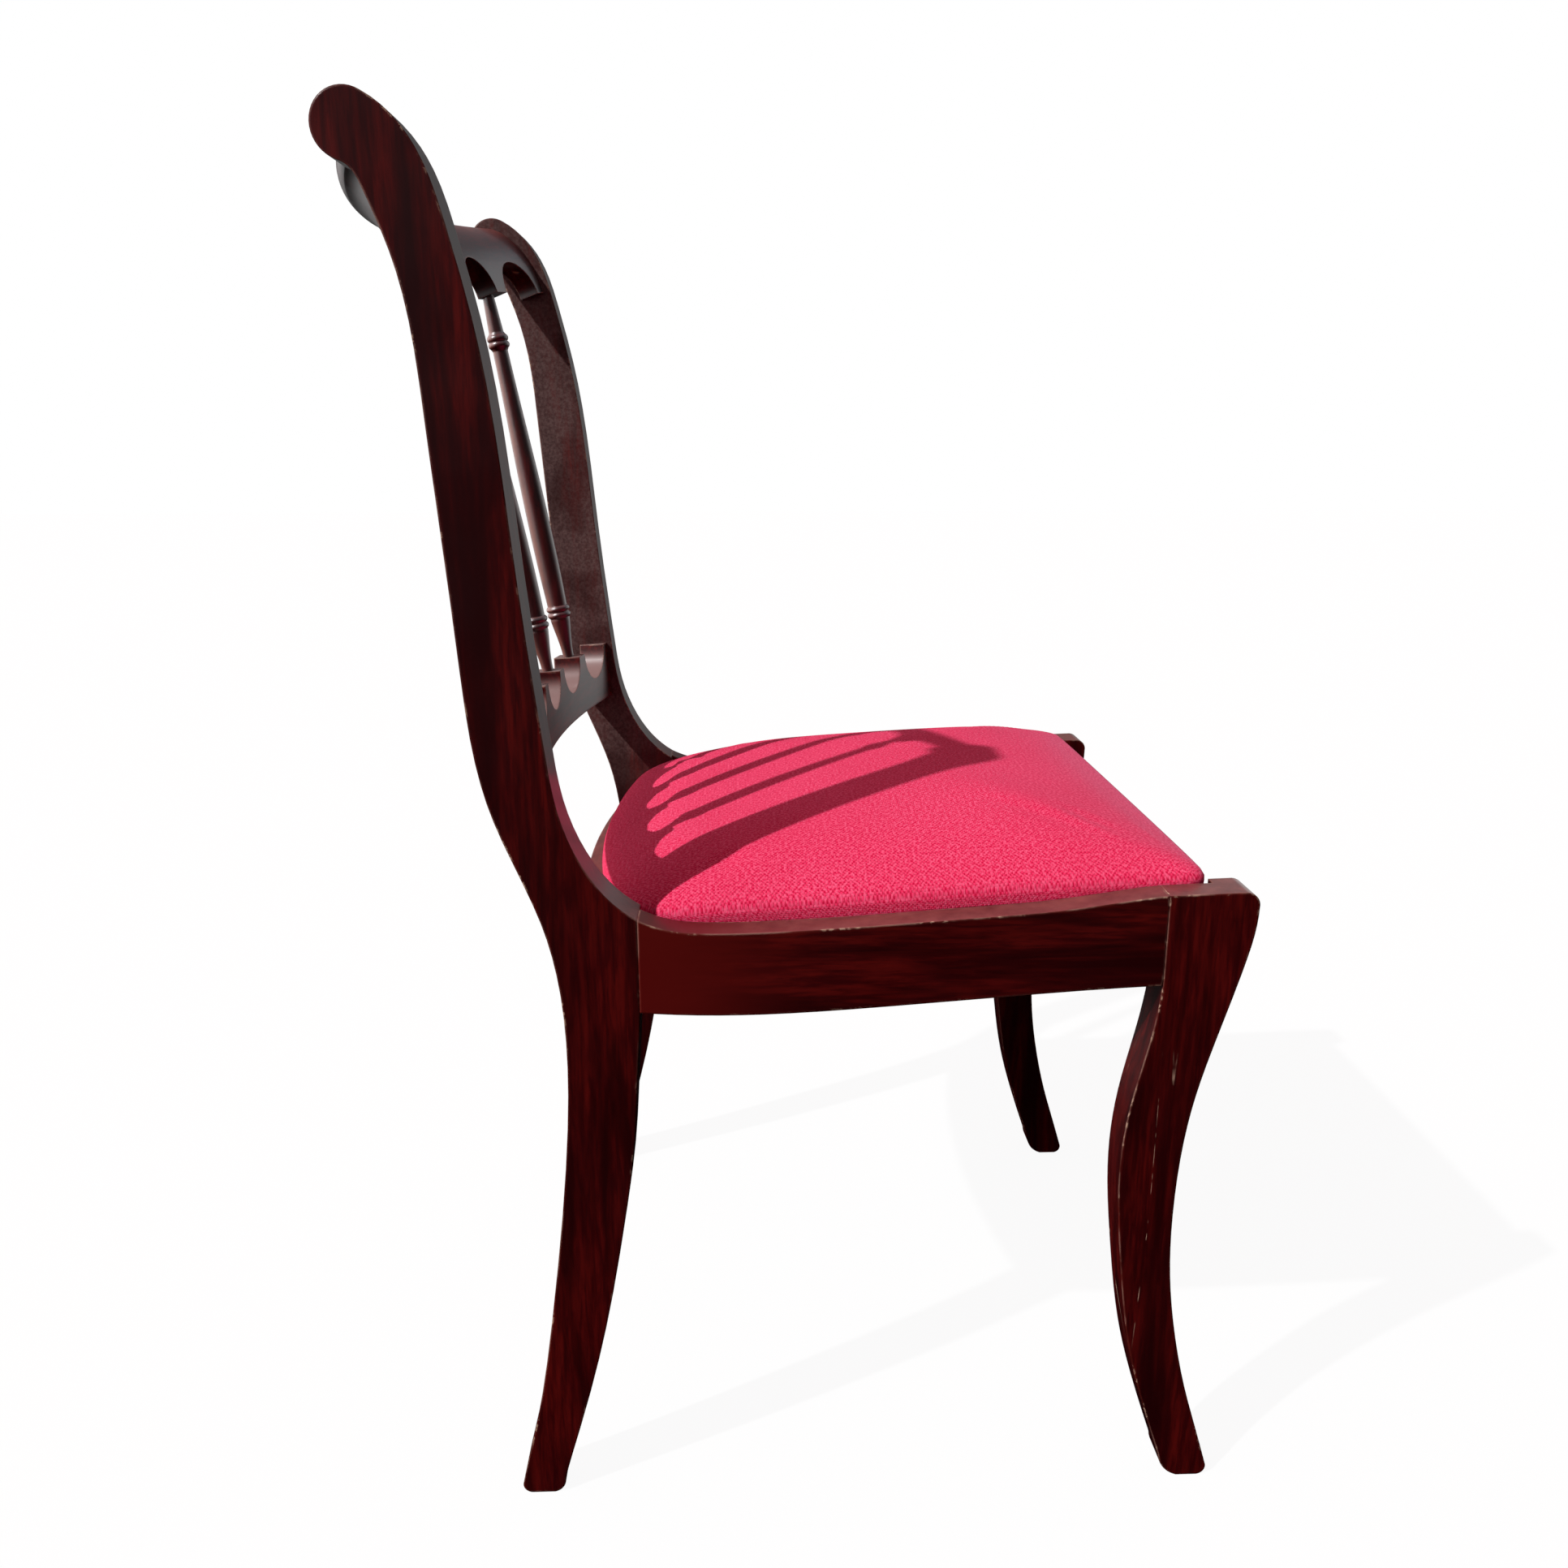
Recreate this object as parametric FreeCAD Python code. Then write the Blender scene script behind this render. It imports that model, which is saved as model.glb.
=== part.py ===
import FreeCAD, Part
import math
import os

# Side chair with scroll topped stiles, sabre legs and an arcaded spindle back.
# Millimetres. X runs across the chair, the front faces -Y, +Z is up.
# While it is drawn, every depth is measured back from the toes of the front feet,
# and the finished solids are moved so that the origin lies under the middle.

V = FreeCAD.Vector

# Overall sizes
overall_width = 440.0
overall_depth = 565.2
side_thickness = 28.0
half_width = overall_width / 2.0
half_inside = half_width - side_thickness

# Side frames: depth back from the toes, then height
scroll_centre = (517.0, 852.0)
scroll_radius = 18.0
scroll_front_angle = 120.0
scroll_neck_angle = -72.0
front_joint = 57.0
rear_joint = 381.0
leg_taper = 6.0
taper_start = 345.0

# Rebate that the loose seat drops into
ledge_front_depth = 24.0
ledge_front_height = 413.6
ledge_slope = 0.06
rebate_width = 8.0

# Seat rails
front_rail_depth = 24.0
front_rail_thickness = 24.0
front_rail_height = 50.0
rear_rail_middle = 432.0
rear_rail_bow = 23.0
rear_rail_thickness = 24.0
rear_rail_bottom = 346.0

# Back
lower_rail_middle = 461.5
lower_rail_bow = 25.5
lower_rail_bottom = 473.0
lower_rail_top = 520.0
lower_rail_lean = 4.0
back_rail_thickness = 22.0
crest_bow = 43.0
crest_bow_fall = 14.0
crest_foot_thickness = 17.0
crest_top_thickness = 17.0
crest_foot = (477.0, 812.7)
crest_front = [(482.0, 826.0), (488.5, 838.5), (498.0, 850.0), (509.0, 858.5), (520.0, 862.0)]
bay_count = 6
bay_pitch = 64.0
arch_radius = 25.0
spindle_places = [-2, -1, 0, 1, 2]
tenon_radius = 4.0
tenon_length = 12.0
socket_play = 0.05
shoulder_height = 0.3
shoulder_radius = 4.4
spindle_top_set_back = 0.65

# Joinery
dowel_radius = 4.0
dowel_length = 28.0
front_block_reach = 46.0
rear_block_back = 412.0
rear_block_across = 60.0
rear_block_along = 74.0
block_height = 30.0
screw_radius = 2.0
screw_head_radius = 4.0
screw_head_height = 3.0
screw_length = 28.0
screw_slot_width = 1.0
screw_slot_depth = 0.8
front_screw_height = 388.0
rear_screw_height = 367.5

# Loose seat, drawn flat and then laid on the sloping rebate
seat_half_width = 199.4
seat_front = 24.5
seat_side_end = 340.0
seat_rear_turn = (130.0, 409.5)
seat_rear = 420.0
seat_corner_radius = 12.0
seat_middle = 165.0
seat_lift_off = 0.3
cloth = 1.2
seat_frame_height = 18.0
seat_frame_width = 48.0
seat_frame_bevel = 5.0
seat_edge_height = 17.0
hem_width = 34.0
dome_sections = [(0.96, 0.94, 25.5), (0.91, 0.85, 32.0), (0.82, 0.73, 38.5), (0.72, 0.6, 43.5), (0.62, 0.44, 47.8)]
dome_sections = dome_sections + [(0.48, 0.28, 51.2), (0.26, 0.12, 53.4)]
strap_width = 50.0
strap_thickness = 1.2
strap_middle = 218.0
tack_radius = 4.0
tack_head = 0.6


def at(x, point):
    """A point of a side drawing (depth, height), set at the width x."""
    return V(x, point[0], point[1])


def on_circle(centre, radius, degrees):
    """A point (depth, height) on a circle of the side drawing."""
    angle = math.radians(degrees)
    return (centre[0] + radius * math.cos(angle), centre[1] + radius * math.sin(angle))


def fair_curve(points, start=None, end=None, x=-half_width):
    """One smooth curve through points of the side drawing."""
    curve = Part.BSplineCurve()
    knots = [at(x, p) for p in points]
    if start and end:
        curve.interpolate(Points=knots, InitialTangent=at(0, start), FinalTangent=at(0, end))
    else:
        curve.interpolate(Points=knots)
    return curve.toShape()


def line(a, b, x=-half_width):
    return Part.makeLine(at(x, a), at(x, b))


def arc(a, b, c, x=-half_width):
    return Part.Arc(at(x, a), at(x, b), at(x, c)).toShape()


def plank(edges, thickness=side_thickness):
    """A board with the outline of a side drawing, lying inwards of its outer face."""
    face = Part.Face(Part.Wire(edges))
    return face.extrude(V(thickness, 0, 0))


def box(x0, x1, y0, y1, z0, z1):
    return Part.makeBox(x1 - x0, y1 - y0, z1 - z0, V(x0, y0, z0))


def other_side(shape):
    return shape.mirror(V(0, 0, 0), V(1, 0, 0))


def ledge_height(depth):
    return ledge_front_height - ledge_slope * (depth - ledge_front_depth)


def above_ledge(x0, x1, y0, y1, rise=0.0, height=120.0):
    """The space above the sloping rebate, used to cut it and whatever it carries."""
    low = [
        V(x0, y0, ledge_height(y0) + rise),
        V(x0, y1, ledge_height(y1) + rise),
        V(x0, y1, ledge_height(y1) + rise + height),
        V(x0, y0, ledge_height(y0) + rise + height),
    ]
    return Part.Face(Part.makePolygon(low + [low[0]])).extrude(V(x1 - x0, 0, 0))


def leg_wedge(y0, y1):
    """The sliver taken off a leg's inner face, so that it thins towards the floor."""
    corners = [V(-half_inside, y0, taper_start), V(-half_inside, y0, -1), V(-half_inside - leg_taper, y0, -1)]
    return Part.Face(Part.makePolygon(corners + [corners[0]])).extrude(V(0, y1 - y0, 0))


# Rear leg and stile, sawn as one piece with the scroll at its top
def rear_leg():
    crown_front = on_circle(scroll_centre, scroll_radius, scroll_front_angle)
    crown_back = on_circle(scroll_centre, scroll_radius, 0)
    neck = on_circle(scroll_centre, scroll_radius, scroll_neck_angle)
    joint_top = (rear_joint, 415.5)
    joint_bottom = (rear_joint, 355.0)
    leg_front = [joint_bottom, (383.5, 318.0), (388.5, 252.0), (396.5, 199.0), (405.5, 150.0), (417.0, 99.0)]
    leg_front = leg_front + [(431.0, 48.0), (441.5, 11.0)]
    leg_back = [
        (470.3, 8.0),
        (461.0, 47.0),
        (443.0, 150.0),
        (430.0, 260.0),
        (427.0, 335.0),
        (438.0, 412.0),
        (465.0, 484.0),
        (478.0, 581.0),
        (487.0, 705.0),
        (498.0, 787.0),
        (511.0, 822.0),
        neck,
    ]
    stile_front = [
        crown_front,
        (494.5, 857.8),
        (483.3, 843.4),
        (469.0, 804.0),
        (457.0, 752.0),
        (442.5, 624.0),
        (431.0, 517.0),
        (426.0, 485.0),
        (413.0, 450.5),
        (402.5, 434.5),
        joint_top,
    ]
    edges = [
        line(joint_top, joint_bottom),
        fair_curve(leg_front, (0.05, -1), (0.25, -1)),
        arc(leg_front[-1], (443.7, 3.2), (449.0, 0.0)),
        line((449.0, 0.0), (464.0, 0.0)),
        arc((464.0, 0.0), (469.0, 2.3), leg_back[0]),
        fair_curve(leg_back, (-0.2, 1), (1, 0.3)),
        arc(neck, crown_back, crown_front),
        fair_curve(stile_front),
    ]
    leg = plank(edges)
    return leg.cut(leg_wedge(rear_joint - 20, 500))


# Front leg: the sabre leg with the nose that carries the end of the side rail
def front_leg():
    joint_top = (front_joint, 427.0)
    joint_bottom = (front_joint, 368.0)
    shin = [(1.0, 419.0), (6.0, 384.0), (20.0, 332.0), (31.0, 287.0), (38.0, 215.0), (35.0, 148.0), (21.0, 77.0)]
    shin = shin + [(0.3, 9.0)]
    calf = [(33.5, 17.0), (45.0, 51.0), (60.0, 104.0), (70.5, 172.0), (75.5, 240.0), (71.5, 285.0), (63.0, 326.0)]
    calf = calf + [joint_bottom]
    edges = [
        line(joint_bottom, joint_top),
        line(joint_top, (9.0, 428.5)),
        arc((9.0, 428.5), (3.2, 425.8), shin[0]),
        fair_curve(shin, (0.0, -1), (-0.3, -1)),
        arc(shin[-1], (1.4, 2.4), (6.0, 0.0)),
        line((6.0, 0.0), (20.0, 0.0)),
        arc((20.0, 0.0), (28.3, 5.0), calf[0]),
        fair_curve(calf),
    ]
    leg = plank(edges)
    leg = leg.cut(leg_wedge(-20, 120))
    rebate = above_ledge(-half_inside - rebate_width, -half_inside + 5, ledge_front_depth, front_joint + 5)
    return leg.cut(rebate)


# Side seat rail, hollowed along its top and rising into the stile
def side_rail():
    top = [(front_joint, 427.0), (117.0, 419.0), (178.0, 414.0), (237.0, 410.0), (293.0, 407.0), (340.0, 406.3)]
    top = top + [(366.0, 409.6), (rear_joint, 415.5)]
    bottom = [(rear_joint, 355.0), (318.0, 352.5), (240.0, 356.0), (164.0, 361.5), (front_joint, 368.0)]
    edges = [
        fair_curve(top, (1, -0.1), (1, 0.5)),
        line(top[-1], bottom[0]),
        fair_curve(bottom),
        line(bottom[-1], top[0]),
    ]
    rail = plank(edges)
    rebate = above_ledge(-half_inside - rebate_width, -half_inside + 5, front_joint - 5, rear_joint + 5)
    return rail.cut(rebate)


# Front seat rail, straight, with the loose seat covering its whole top
def front_rail():
    bottom = ledge_front_height - front_rail_height
    rail = box(-half_inside, half_inside, front_rail_depth, front_rail_depth + front_rail_thickness, bottom, 440)
    return rail.cut(above_ledge(-half_inside - 1, half_inside + 1, 0, 80))


def bowed_radius(bow):
    """Radius of an arc that bows by the given height between the two side frames."""
    return (half_inside ** 2 + bow ** 2) / (2 * bow)


def bowed_board(middle, bow, thickness, bottom, top):
    """A board sawn to an arc in plan, its front face at the given depth in the middle."""
    radius = bowed_radius(bow)
    axis = V(0, middle - radius, bottom)
    outer = Part.makeCylinder(radius + thickness, top - bottom, axis)
    inner = Part.makeCylinder(radius, top - bottom, axis)
    strip = box(-half_inside, half_inside, middle - 2 * bow, middle + thickness + 1, bottom, top)
    return outer.cut(inner).common(strip)


# Rear seat rail, bowed to follow the rounded back of the seat
def rear_rail():
    front_face = rear_rail_middle - rear_rail_thickness
    rail = bowed_board(front_face, rear_rail_bow, rear_rail_thickness, rear_rail_bottom, 420)
    return rail.cut(above_ledge(-half_inside - 1, half_inside + 1, 340, 460))


# Arcade: one round ended slot for each bay, square to the face of a bowed rail
def bay_centres():
    first = -(bay_count - 1) / 2.0
    places = [(first + i) * bay_pitch for i in range(bay_count)]
    return places


def lean_lower_rail(shape):
    """Tip the rail back about a line across the chair at its top."""
    pivot = V(0, lower_rail_middle - lower_rail_bow / 2, lower_rail_top)
    shape.rotate(pivot, V(1, 0, 0), -lower_rail_lean)
    return shape


def lower_rail_point(x):
    """The middle of the leaning rail's flat top at the width x."""
    radius = bowed_radius(lower_rail_bow)
    middle_radius = radius + back_rail_thickness / 2
    depth = lower_rail_middle - radius + math.sqrt(middle_radius ** 2 - x ** 2)
    return lean_lower_rail(Part.Vertex(V(x, depth, lower_rail_top))).Point


# Lower back rail: hollows cut down between the little posts that carry the spindles
def lower_back_rail():
    rail = bowed_board(lower_rail_middle, lower_rail_bow, back_rail_thickness, lower_rail_bottom, lower_rail_top)
    radius = bowed_radius(lower_rail_bow)
    centre = lower_rail_middle - radius
    for x in bay_centres():
        hollow = Part.makeCylinder(arch_radius, 80, V(0, radius - 30, lower_rail_top), V(0, 1, 0))
        hollow.rotate(V(0, 0, 0), V(0, 0, 1), -math.degrees(math.asin(x / radius)))
        hollow.translate(V(0, centre, 0))
        rail = rail.cut(hollow)
    middle = lower_rail_middle - lower_rail_bow + back_rail_thickness / 2
    for side in (-1, 1):
        inner = side * (half_inside - 2)
        outer = side * (half_inside + tenon_length)
        tenon = box(min(inner, outer), max(inner, outer), middle - 5, middle + 5, lower_rail_bottom + 4, 492)
        rail = rail.fuse(tenon)
    return lean_lower_rail(rail.removeSplitter())


# Crest rail: a curved section swung about a leaning axis, arcaded below like the lower rail
crest_out = V(0, math.cos(math.radians(crest_bow_fall)), -math.sin(math.radians(crest_bow_fall)))
crest_up = V(0, math.sin(math.radians(crest_bow_fall)), math.cos(math.radians(crest_bow_fall)))
crest_radius = bowed_radius(crest_bow)
crest_axis = at(0, crest_foot) - crest_out * (crest_radius - crest_bow)


def crest_middle_point(end_point):
    """Where a point of the rail's end section lies on its middle section."""
    reach = at(0, end_point) - crest_axis
    out = math.sqrt(reach.dot(crest_out) ** 2 + half_inside ** 2)
    return crest_axis + crest_out * out + crest_up * reach.dot(crest_up)


def crest_section():
    """The middle section: a front curve, a back curve thickening upwards, and a rounded top."""
    points = [crest_middle_point(p) for p in [crest_foot] + crest_front]
    curve = Part.BSplineCurve()
    curve.interpolate(Points=points)
    first = curve.FirstParameter
    last = curve.LastParameter
    behind = []
    for i in range(6):
        share = i / 5.0
        t = first + (last - first) * share
        direction = curve.tangent(t)[0]
        normal = V(0, direction.z, -direction.y)
        thickness = crest_foot_thickness + (crest_top_thickness - crest_foot_thickness) * share
        behind.append(curve.value(t) + normal * thickness)
    back = Part.BSplineCurve()
    back.interpolate(Points=behind)
    tip = curve.tangent(last)[0]
    crown = (points[-1] + behind[-1]) * 0.5 + tip * 5.0
    foot = Part.makeLine(behind[0], points[0])
    top = Part.Arc(points[-1], crown, behind[-1]).toShape()
    return Part.Wire([curve.toShape(), top, back.toShape(), foot])


def crest_pose(x):
    """Swing angle that carries the middle of the crest to the width x."""
    return -math.degrees(math.asin(x / crest_radius))


def crest_rail():
    swing = math.degrees(math.asin(half_inside / crest_radius)) + 4
    section = Part.Face(crest_section())
    section.rotate(crest_axis, crest_up, -swing)
    rail = section.revolve(crest_axis, crest_up, 2 * swing)
    rail = rail.common(box(-half_inside, half_inside, 380, 640, 700, 900))
    spring = crest_axis + crest_out * (crest_radius - 30)
    for x in bay_centres():
        arch = Part.makeCylinder(arch_radius, 90, spring, crest_out)
        arch.rotate(crest_axis, crest_up, crest_pose(x))
        rail = rail.cut(arch)
    return rail


# Turned spindle: neck, double ring, long swelling body, double ring, tapered foot
def spindle_ends(x):
    """Where a spindle leaves the lower rail and where it enters the crest rail."""
    base = lower_rail_point(x)
    behind, front = [vertex.Point for vertex in crest_section().Edges[3].Vertexes]
    reach = front + (behind - front) * spindle_top_set_back - crest_axis
    out = reach.dot(crest_out)
    up = reach.dot(crest_up)
    top = crest_axis + V(x, 0, 0) + crest_out * math.sqrt(out ** 2 - x ** 2) + crest_up * up
    return base, top


def turned(outline):
    """A solid of revolution about Z from (radius, height) points and curves between them."""
    edges = []
    last = outline[0]
    for step in outline[1:]:
        if isinstance(step, list):
            curve = Part.BSplineCurve()
            curve.interpolate(Points=[V(r, 0, h) for r, h in [last] + step])
            edges.append(curve.toShape())
            last = step[-1]
        else:
            edges.append(Part.makeLine(V(last[0], 0, last[1]), V(step[0], 0, step[1])))
            last = step
    edges.append(Part.makeLine(V(last[0], 0, last[1]), V(outline[0][0], 0, outline[0][1])))
    return Part.Face(Part.Wire(edges)).revolve(V(0, 0, 0), V(0, 0, 1), 360)


def bead(neck, crown, low, high):
    """A rounded ring of a turning, as a curve from its lower neck to its upper one."""
    side = (neck + crown) / 2 + 0.25
    quarter = (high - low) / 5
    return [(side, low + quarter), (crown, (low + high) / 2), (side, high - quarter), (neck, high)]


def spindle(x):
    base, top = spindle_ends(x)
    length = (top - base).Length
    end = length + tenon_length
    outline = [(0, -tenon_length), (tenon_radius, -tenon_length), (tenon_radius, shoulder_height)]
    outline = outline + [(shoulder_radius, shoulder_height), [(5.2, 12.0), (6.6, 22.0), (8.0, 31.5)], (8.0, 33.5)]
    outline = outline + [bead(8.0, 9.6, 33.5, 38.5), bead(8.0, 9.6, 38.5, 43.5), (8.0, 45.0)]
    outline = outline + [[(8.8, 85.0), (8.4, 140.0), (7.1, 190.0), (5.9, length - 41)], (7.0, length - 39)]
    outline = outline + [bead(7.0, 8.4, length - 39, length - 34), bead(7.0, 8.4, length - 34, length - 29)]
    outline = outline + [(5.8, length - 27), [(5.2, length - 16), (shoulder_radius, length - shoulder_height)]]
    outline = outline + [(tenon_radius, length - shoulder_height), (tenon_radius, end), (0, end)]
    shape = turned(outline)
    lean = FreeCAD.Rotation(V(0, 0, 1), top - base)
    shape.Placement = FreeCAD.Placement(base, lean)
    return shape


def socket(mouth, inwards):
    """A blind hole for a tenon, with a flat seat bored round its mouth for the shoulder."""
    hole = Part.makeCylinder(tenon_radius + socket_play, tenon_length + 2, mouth - inwards * 2, inwards)
    seat = Part.makeCylinder(shoulder_radius + 0.3, 3, mouth - inwards * 3, inwards)
    seat.translate(inwards * -(shoulder_height - socket_play))
    return hole.fuse(seat)


def spindle_sockets(x):
    """The holes in the lower rail and in the crest that a spindle's tenons sit in."""
    base, top = spindle_ends(x)
    along = (top - base).normalize()
    return socket(base, along * -1), socket(top, along)


# Dowels: two pegs across each joint of the seat frame and of the crest
def dowel_places():
    """Middle point and direction of every dowel on the -X side."""
    middle = -half_width + side_thickness / 2 - 2
    front_rail_middle = front_rail_depth + front_rail_thickness / 2
    along = V(0, 1, 0)
    across = V(1, 0, 0)
    places = []
    places.append((V(middle, front_joint, 382.0), along))
    places.append((V(middle, front_joint, 402.0), along))
    places.append((V(middle, rear_joint, 368.0), along))
    places.append((V(middle, rear_joint, 386.0), along))
    places.append((V(-half_inside, front_rail_middle, 377.0), across))
    places.append((V(-half_inside, front_rail_middle, 399.0), across))
    places.append((V(-half_inside, 398.0, 358.0), across))
    places.append((V(-half_inside, 398.0, 377.0), across))
    places.append((V(-half_inside, 497.0, 830.4), across))
    places.append((V(-half_inside, 512.0, 848.5), across))
    return places


def dowels():
    pegs = []
    for middle, direction in dowel_places():
        start = middle - direction * (dowel_length / 2)
        peg = Part.makeCylinder(dowel_radius, dowel_length, start, direction)
        pegs.append(peg)
        pegs.append(other_side(peg))
    return Part.makeCompound(pegs)


# Corner blocks glued and screwed into the four corners of the seat frame
def front_corner_block():
    inner = front_rail_depth + front_rail_thickness
    corner = [V(-half_inside, inner, 0), V(-half_inside + front_block_reach, inner, 0)]
    corner = corner + [V(-half_inside, inner + front_block_reach, 0)]
    return corner_block(corner, inner)


def rear_corner_block():
    corner = [V(-half_inside, rear_block_back, 0), V(-half_inside + rear_block_across, rear_block_back, 0)]
    corner = corner + [V(-half_inside, rear_block_back - rear_block_along, 0)]
    block = corner_block(corner, rear_block_back).cut(rear_rail())
    return max(block.Solids, key=lambda solid: solid.Volume)


def corner_block(corner, depth):
    top = ledge_height(depth) + 3
    block = Part.Face(Part.makePolygon(corner + [corner[0]])).extrude(V(0, 0, block_height + 6))
    block.translate(V(0, 0, top - block_height - 6))
    block = block.cut(above_ledge(-half_inside - 1, half_inside, 0, 460, rise=-1.0))
    return block


def screw_places():
    """Head point and direction of the screws on the -X side, two to a block."""
    front_inner = front_rail_depth + front_rail_thickness
    middle = front_block_reach / 2
    into_front = V(-1, -1, 0).normalize()
    into_rear = V(-rear_block_along, rear_block_across, 0).normalize()
    places = []
    for shift in (-10.0, 10.0):
        head = V(-half_inside + middle + shift, front_inner + middle - shift, front_screw_height)
        places.append((head, into_front))
    for share in (0.2, 0.67):
        depth = rear_block_back - rear_block_along * (1 - share)
        head = V(-half_inside + rear_block_across * share, depth, rear_screw_height)
        places.append((head, into_rear))
    return places


def screw(slotted):
    """A countersunk screw along Z, or without its slot the hole that it fills."""
    shank = Part.makeCylinder(screw_radius, screw_length)
    cone = Part.makeCone(screw_head_radius, screw_radius, screw_head_height)
    body = shank.fuse(cone)
    if slotted:
        half_slot = screw_slot_width / 2
        body = body.cut(box(-5, 5, -half_slot, half_slot, -1, screw_slot_depth))
    return body


def screws(slotted=False):
    """All the screws, each with its head flush with its block's slanting face."""
    pieces = []
    for head, direction in screw_places():
        piece = screw(slotted)
        piece.Placement = FreeCAD.Placement(head, FreeCAD.Rotation(V(0, 0, 1), direction))
        pieces.append(piece)
        pieces.append(other_side(piece))
    return Part.makeCompound(pieces)


# Loose seat. It is drawn flat with heights above the rebate, then tilted onto it.
def seat_outline(height, inset=0.0, across=1.0, along=1.0):
    """The plan of the seat: square front, straight sides, rounded back corners."""
    half = seat_half_width - inset
    front = seat_front + inset
    turn_x = seat_rear_turn[0]
    turn_y = seat_rear_turn[1] - inset
    rear = seat_rear - inset
    r = seat_corner_radius
    k = r * (1 - math.sqrt(0.5))

    def p(x, y):
        return V(x * across, seat_middle + (y - seat_middle) * along, height)

    def corner(sign):
        curve = Part.BSplineCurve()
        points = [p(sign * half, seat_side_end), p(sign * (half - 14), 383 - inset), p(sign * turn_x, turn_y)]
        curve.interpolate(Points=points, InitialTangent=V(0, 1, 0), FinalTangent=V(-sign, 0.16, 0))
        return curve

    right = corner(1).toShape()
    left = corner(-1)
    left.reverse()
    left = left.toShape()
    edges = [
        Part.makeLine(p(-half + r, front), p(half - r, front)),
        Part.Arc(p(half - r, front), p(half - k, front + k), p(half, front + r)).toShape(),
        Part.makeLine(p(half, front + r), p(half, seat_side_end)),
        right,
        Part.Arc(p(turn_x, turn_y), p(0, rear), p(-turn_x, turn_y)).toShape(),
        left,
        Part.makeLine(p(-half, seat_side_end), p(-half, front + r)),
        Part.Arc(p(-half, front + r), p(-half + k, front + k), p(-half + r, front)).toShape(),
    ]
    return Part.Wire(edges)


def seat_slab(low, high, inset=0.0):
    return Part.Face(seat_outline(low, inset)).extrude(V(0, 0, high - low))


def cushion_form(inset):
    """The stuffed shape: a straight edge, then a dome of shrinking outlines."""
    base = seat_slab(seat_lift_off, seat_edge_height - inset, inset)
    wires = [seat_outline(seat_edge_height - inset, inset)]
    for across, along, height in dome_sections:
        wires.append(seat_outline(height - inset, inset, across, along))
    dome = Part.makeLoft(wires, True, False)
    return base.fuse(dome).removeSplitter()


def lay_on_rebate(shape):
    shape.translate(V(0, -ledge_front_depth, 0))
    shape.rotate(V(0, 0, 0), V(1, 0, 0), -math.degrees(math.atan(ledge_slope)))
    shape.translate(V(0, ledge_front_depth, ledge_front_height))
    return shape


def seat_frame_pieces():
    """Four members of the seat's own frame, butted at the corners, bevelled round the top."""
    low = seat_lift_off + cloth
    high = low + seat_frame_height
    ring = seat_slab(low, high - seat_frame_bevel, cloth)
    edge = [seat_outline(high - seat_frame_bevel, cloth), seat_outline(high, cloth + seat_frame_bevel)]
    ring = ring.fuse(Part.makeLoft(edge, True, True)).removeSplitter()
    inner = seat_half_width - seat_frame_width
    front_end = seat_front + seat_frame_width
    rear_start = 366.0
    ring = ring.cut(box(-inner, inner, front_end, rear_start, -1, 50))
    front = ring.common(box(-250, 250, 0, front_end, -1, 50))
    rear = ring.common(box(-250, 250, rear_start, 500, -1, 50))
    right = ring.common(box(-250, -inner, front_end, rear_start, -1, 50))
    left = ring.common(box(inner, 250, front_end, rear_start, -1, 50))
    return {"seat_frame_front": front, "seat_frame_rear": rear, "seat_frame_right": right, "seat_frame_left": left}


def webbing():
    """Straps from front to back with straps from side to side laid over them."""
    low = seat_lift_off + cloth + seat_frame_height
    straps = []
    for i in (-1, 0, 1):
        middle = i * 105.0
        strap = box(middle - strap_width / 2, middle + strap_width / 2, 50, 392, low, low + strap_thickness)
        straps.append(strap)
        depth = strap_middle + i * 95.0
        high = low + strap_thickness
        cross = box(-178, 178, depth - strap_width / 2, depth + strap_width / 2, high, high + strap_thickness)
        straps.append(cross)
    return Part.makeCompound(straps)


def padding():
    low = seat_lift_off + cloth + seat_frame_height + 2 * strap_thickness
    return cushion_form(cloth).common(box(-250, 250, 0, 500, low, 100))


def cover():
    """The cloth drawn over the stuffing, down the edge and under the frame."""
    skin = cushion_form(0.0).cut(cushion_form(cloth).common(box(-250, 250, 0, 500, seat_lift_off + cloth, 100)))
    return skin.cut(seat_slab(-1, seat_lift_off + cloth, hem_width))


def tacks():
    """Flat headed tacks that hold the turned-under cloth to the frame."""
    heads = []
    inwards = hem_width - tack_radius - 1
    spots = [(x * 60.0, seat_front + inwards) for x in range(-2, 3)]
    spots = spots + [(x * 60.0, seat_rear - inwards) for x in range(-1, 2)]
    for side in (-1, 1):
        spots = spots + [(side * (seat_half_width - inwards), 100.0 + i * 60.0) for i in range(4)]
    for x, y in spots:
        heads.append(Part.makeCylinder(tack_radius, tack_head, V(x, y, seat_lift_off - tack_head)))
    return Part.makeCompound(heads)


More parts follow.
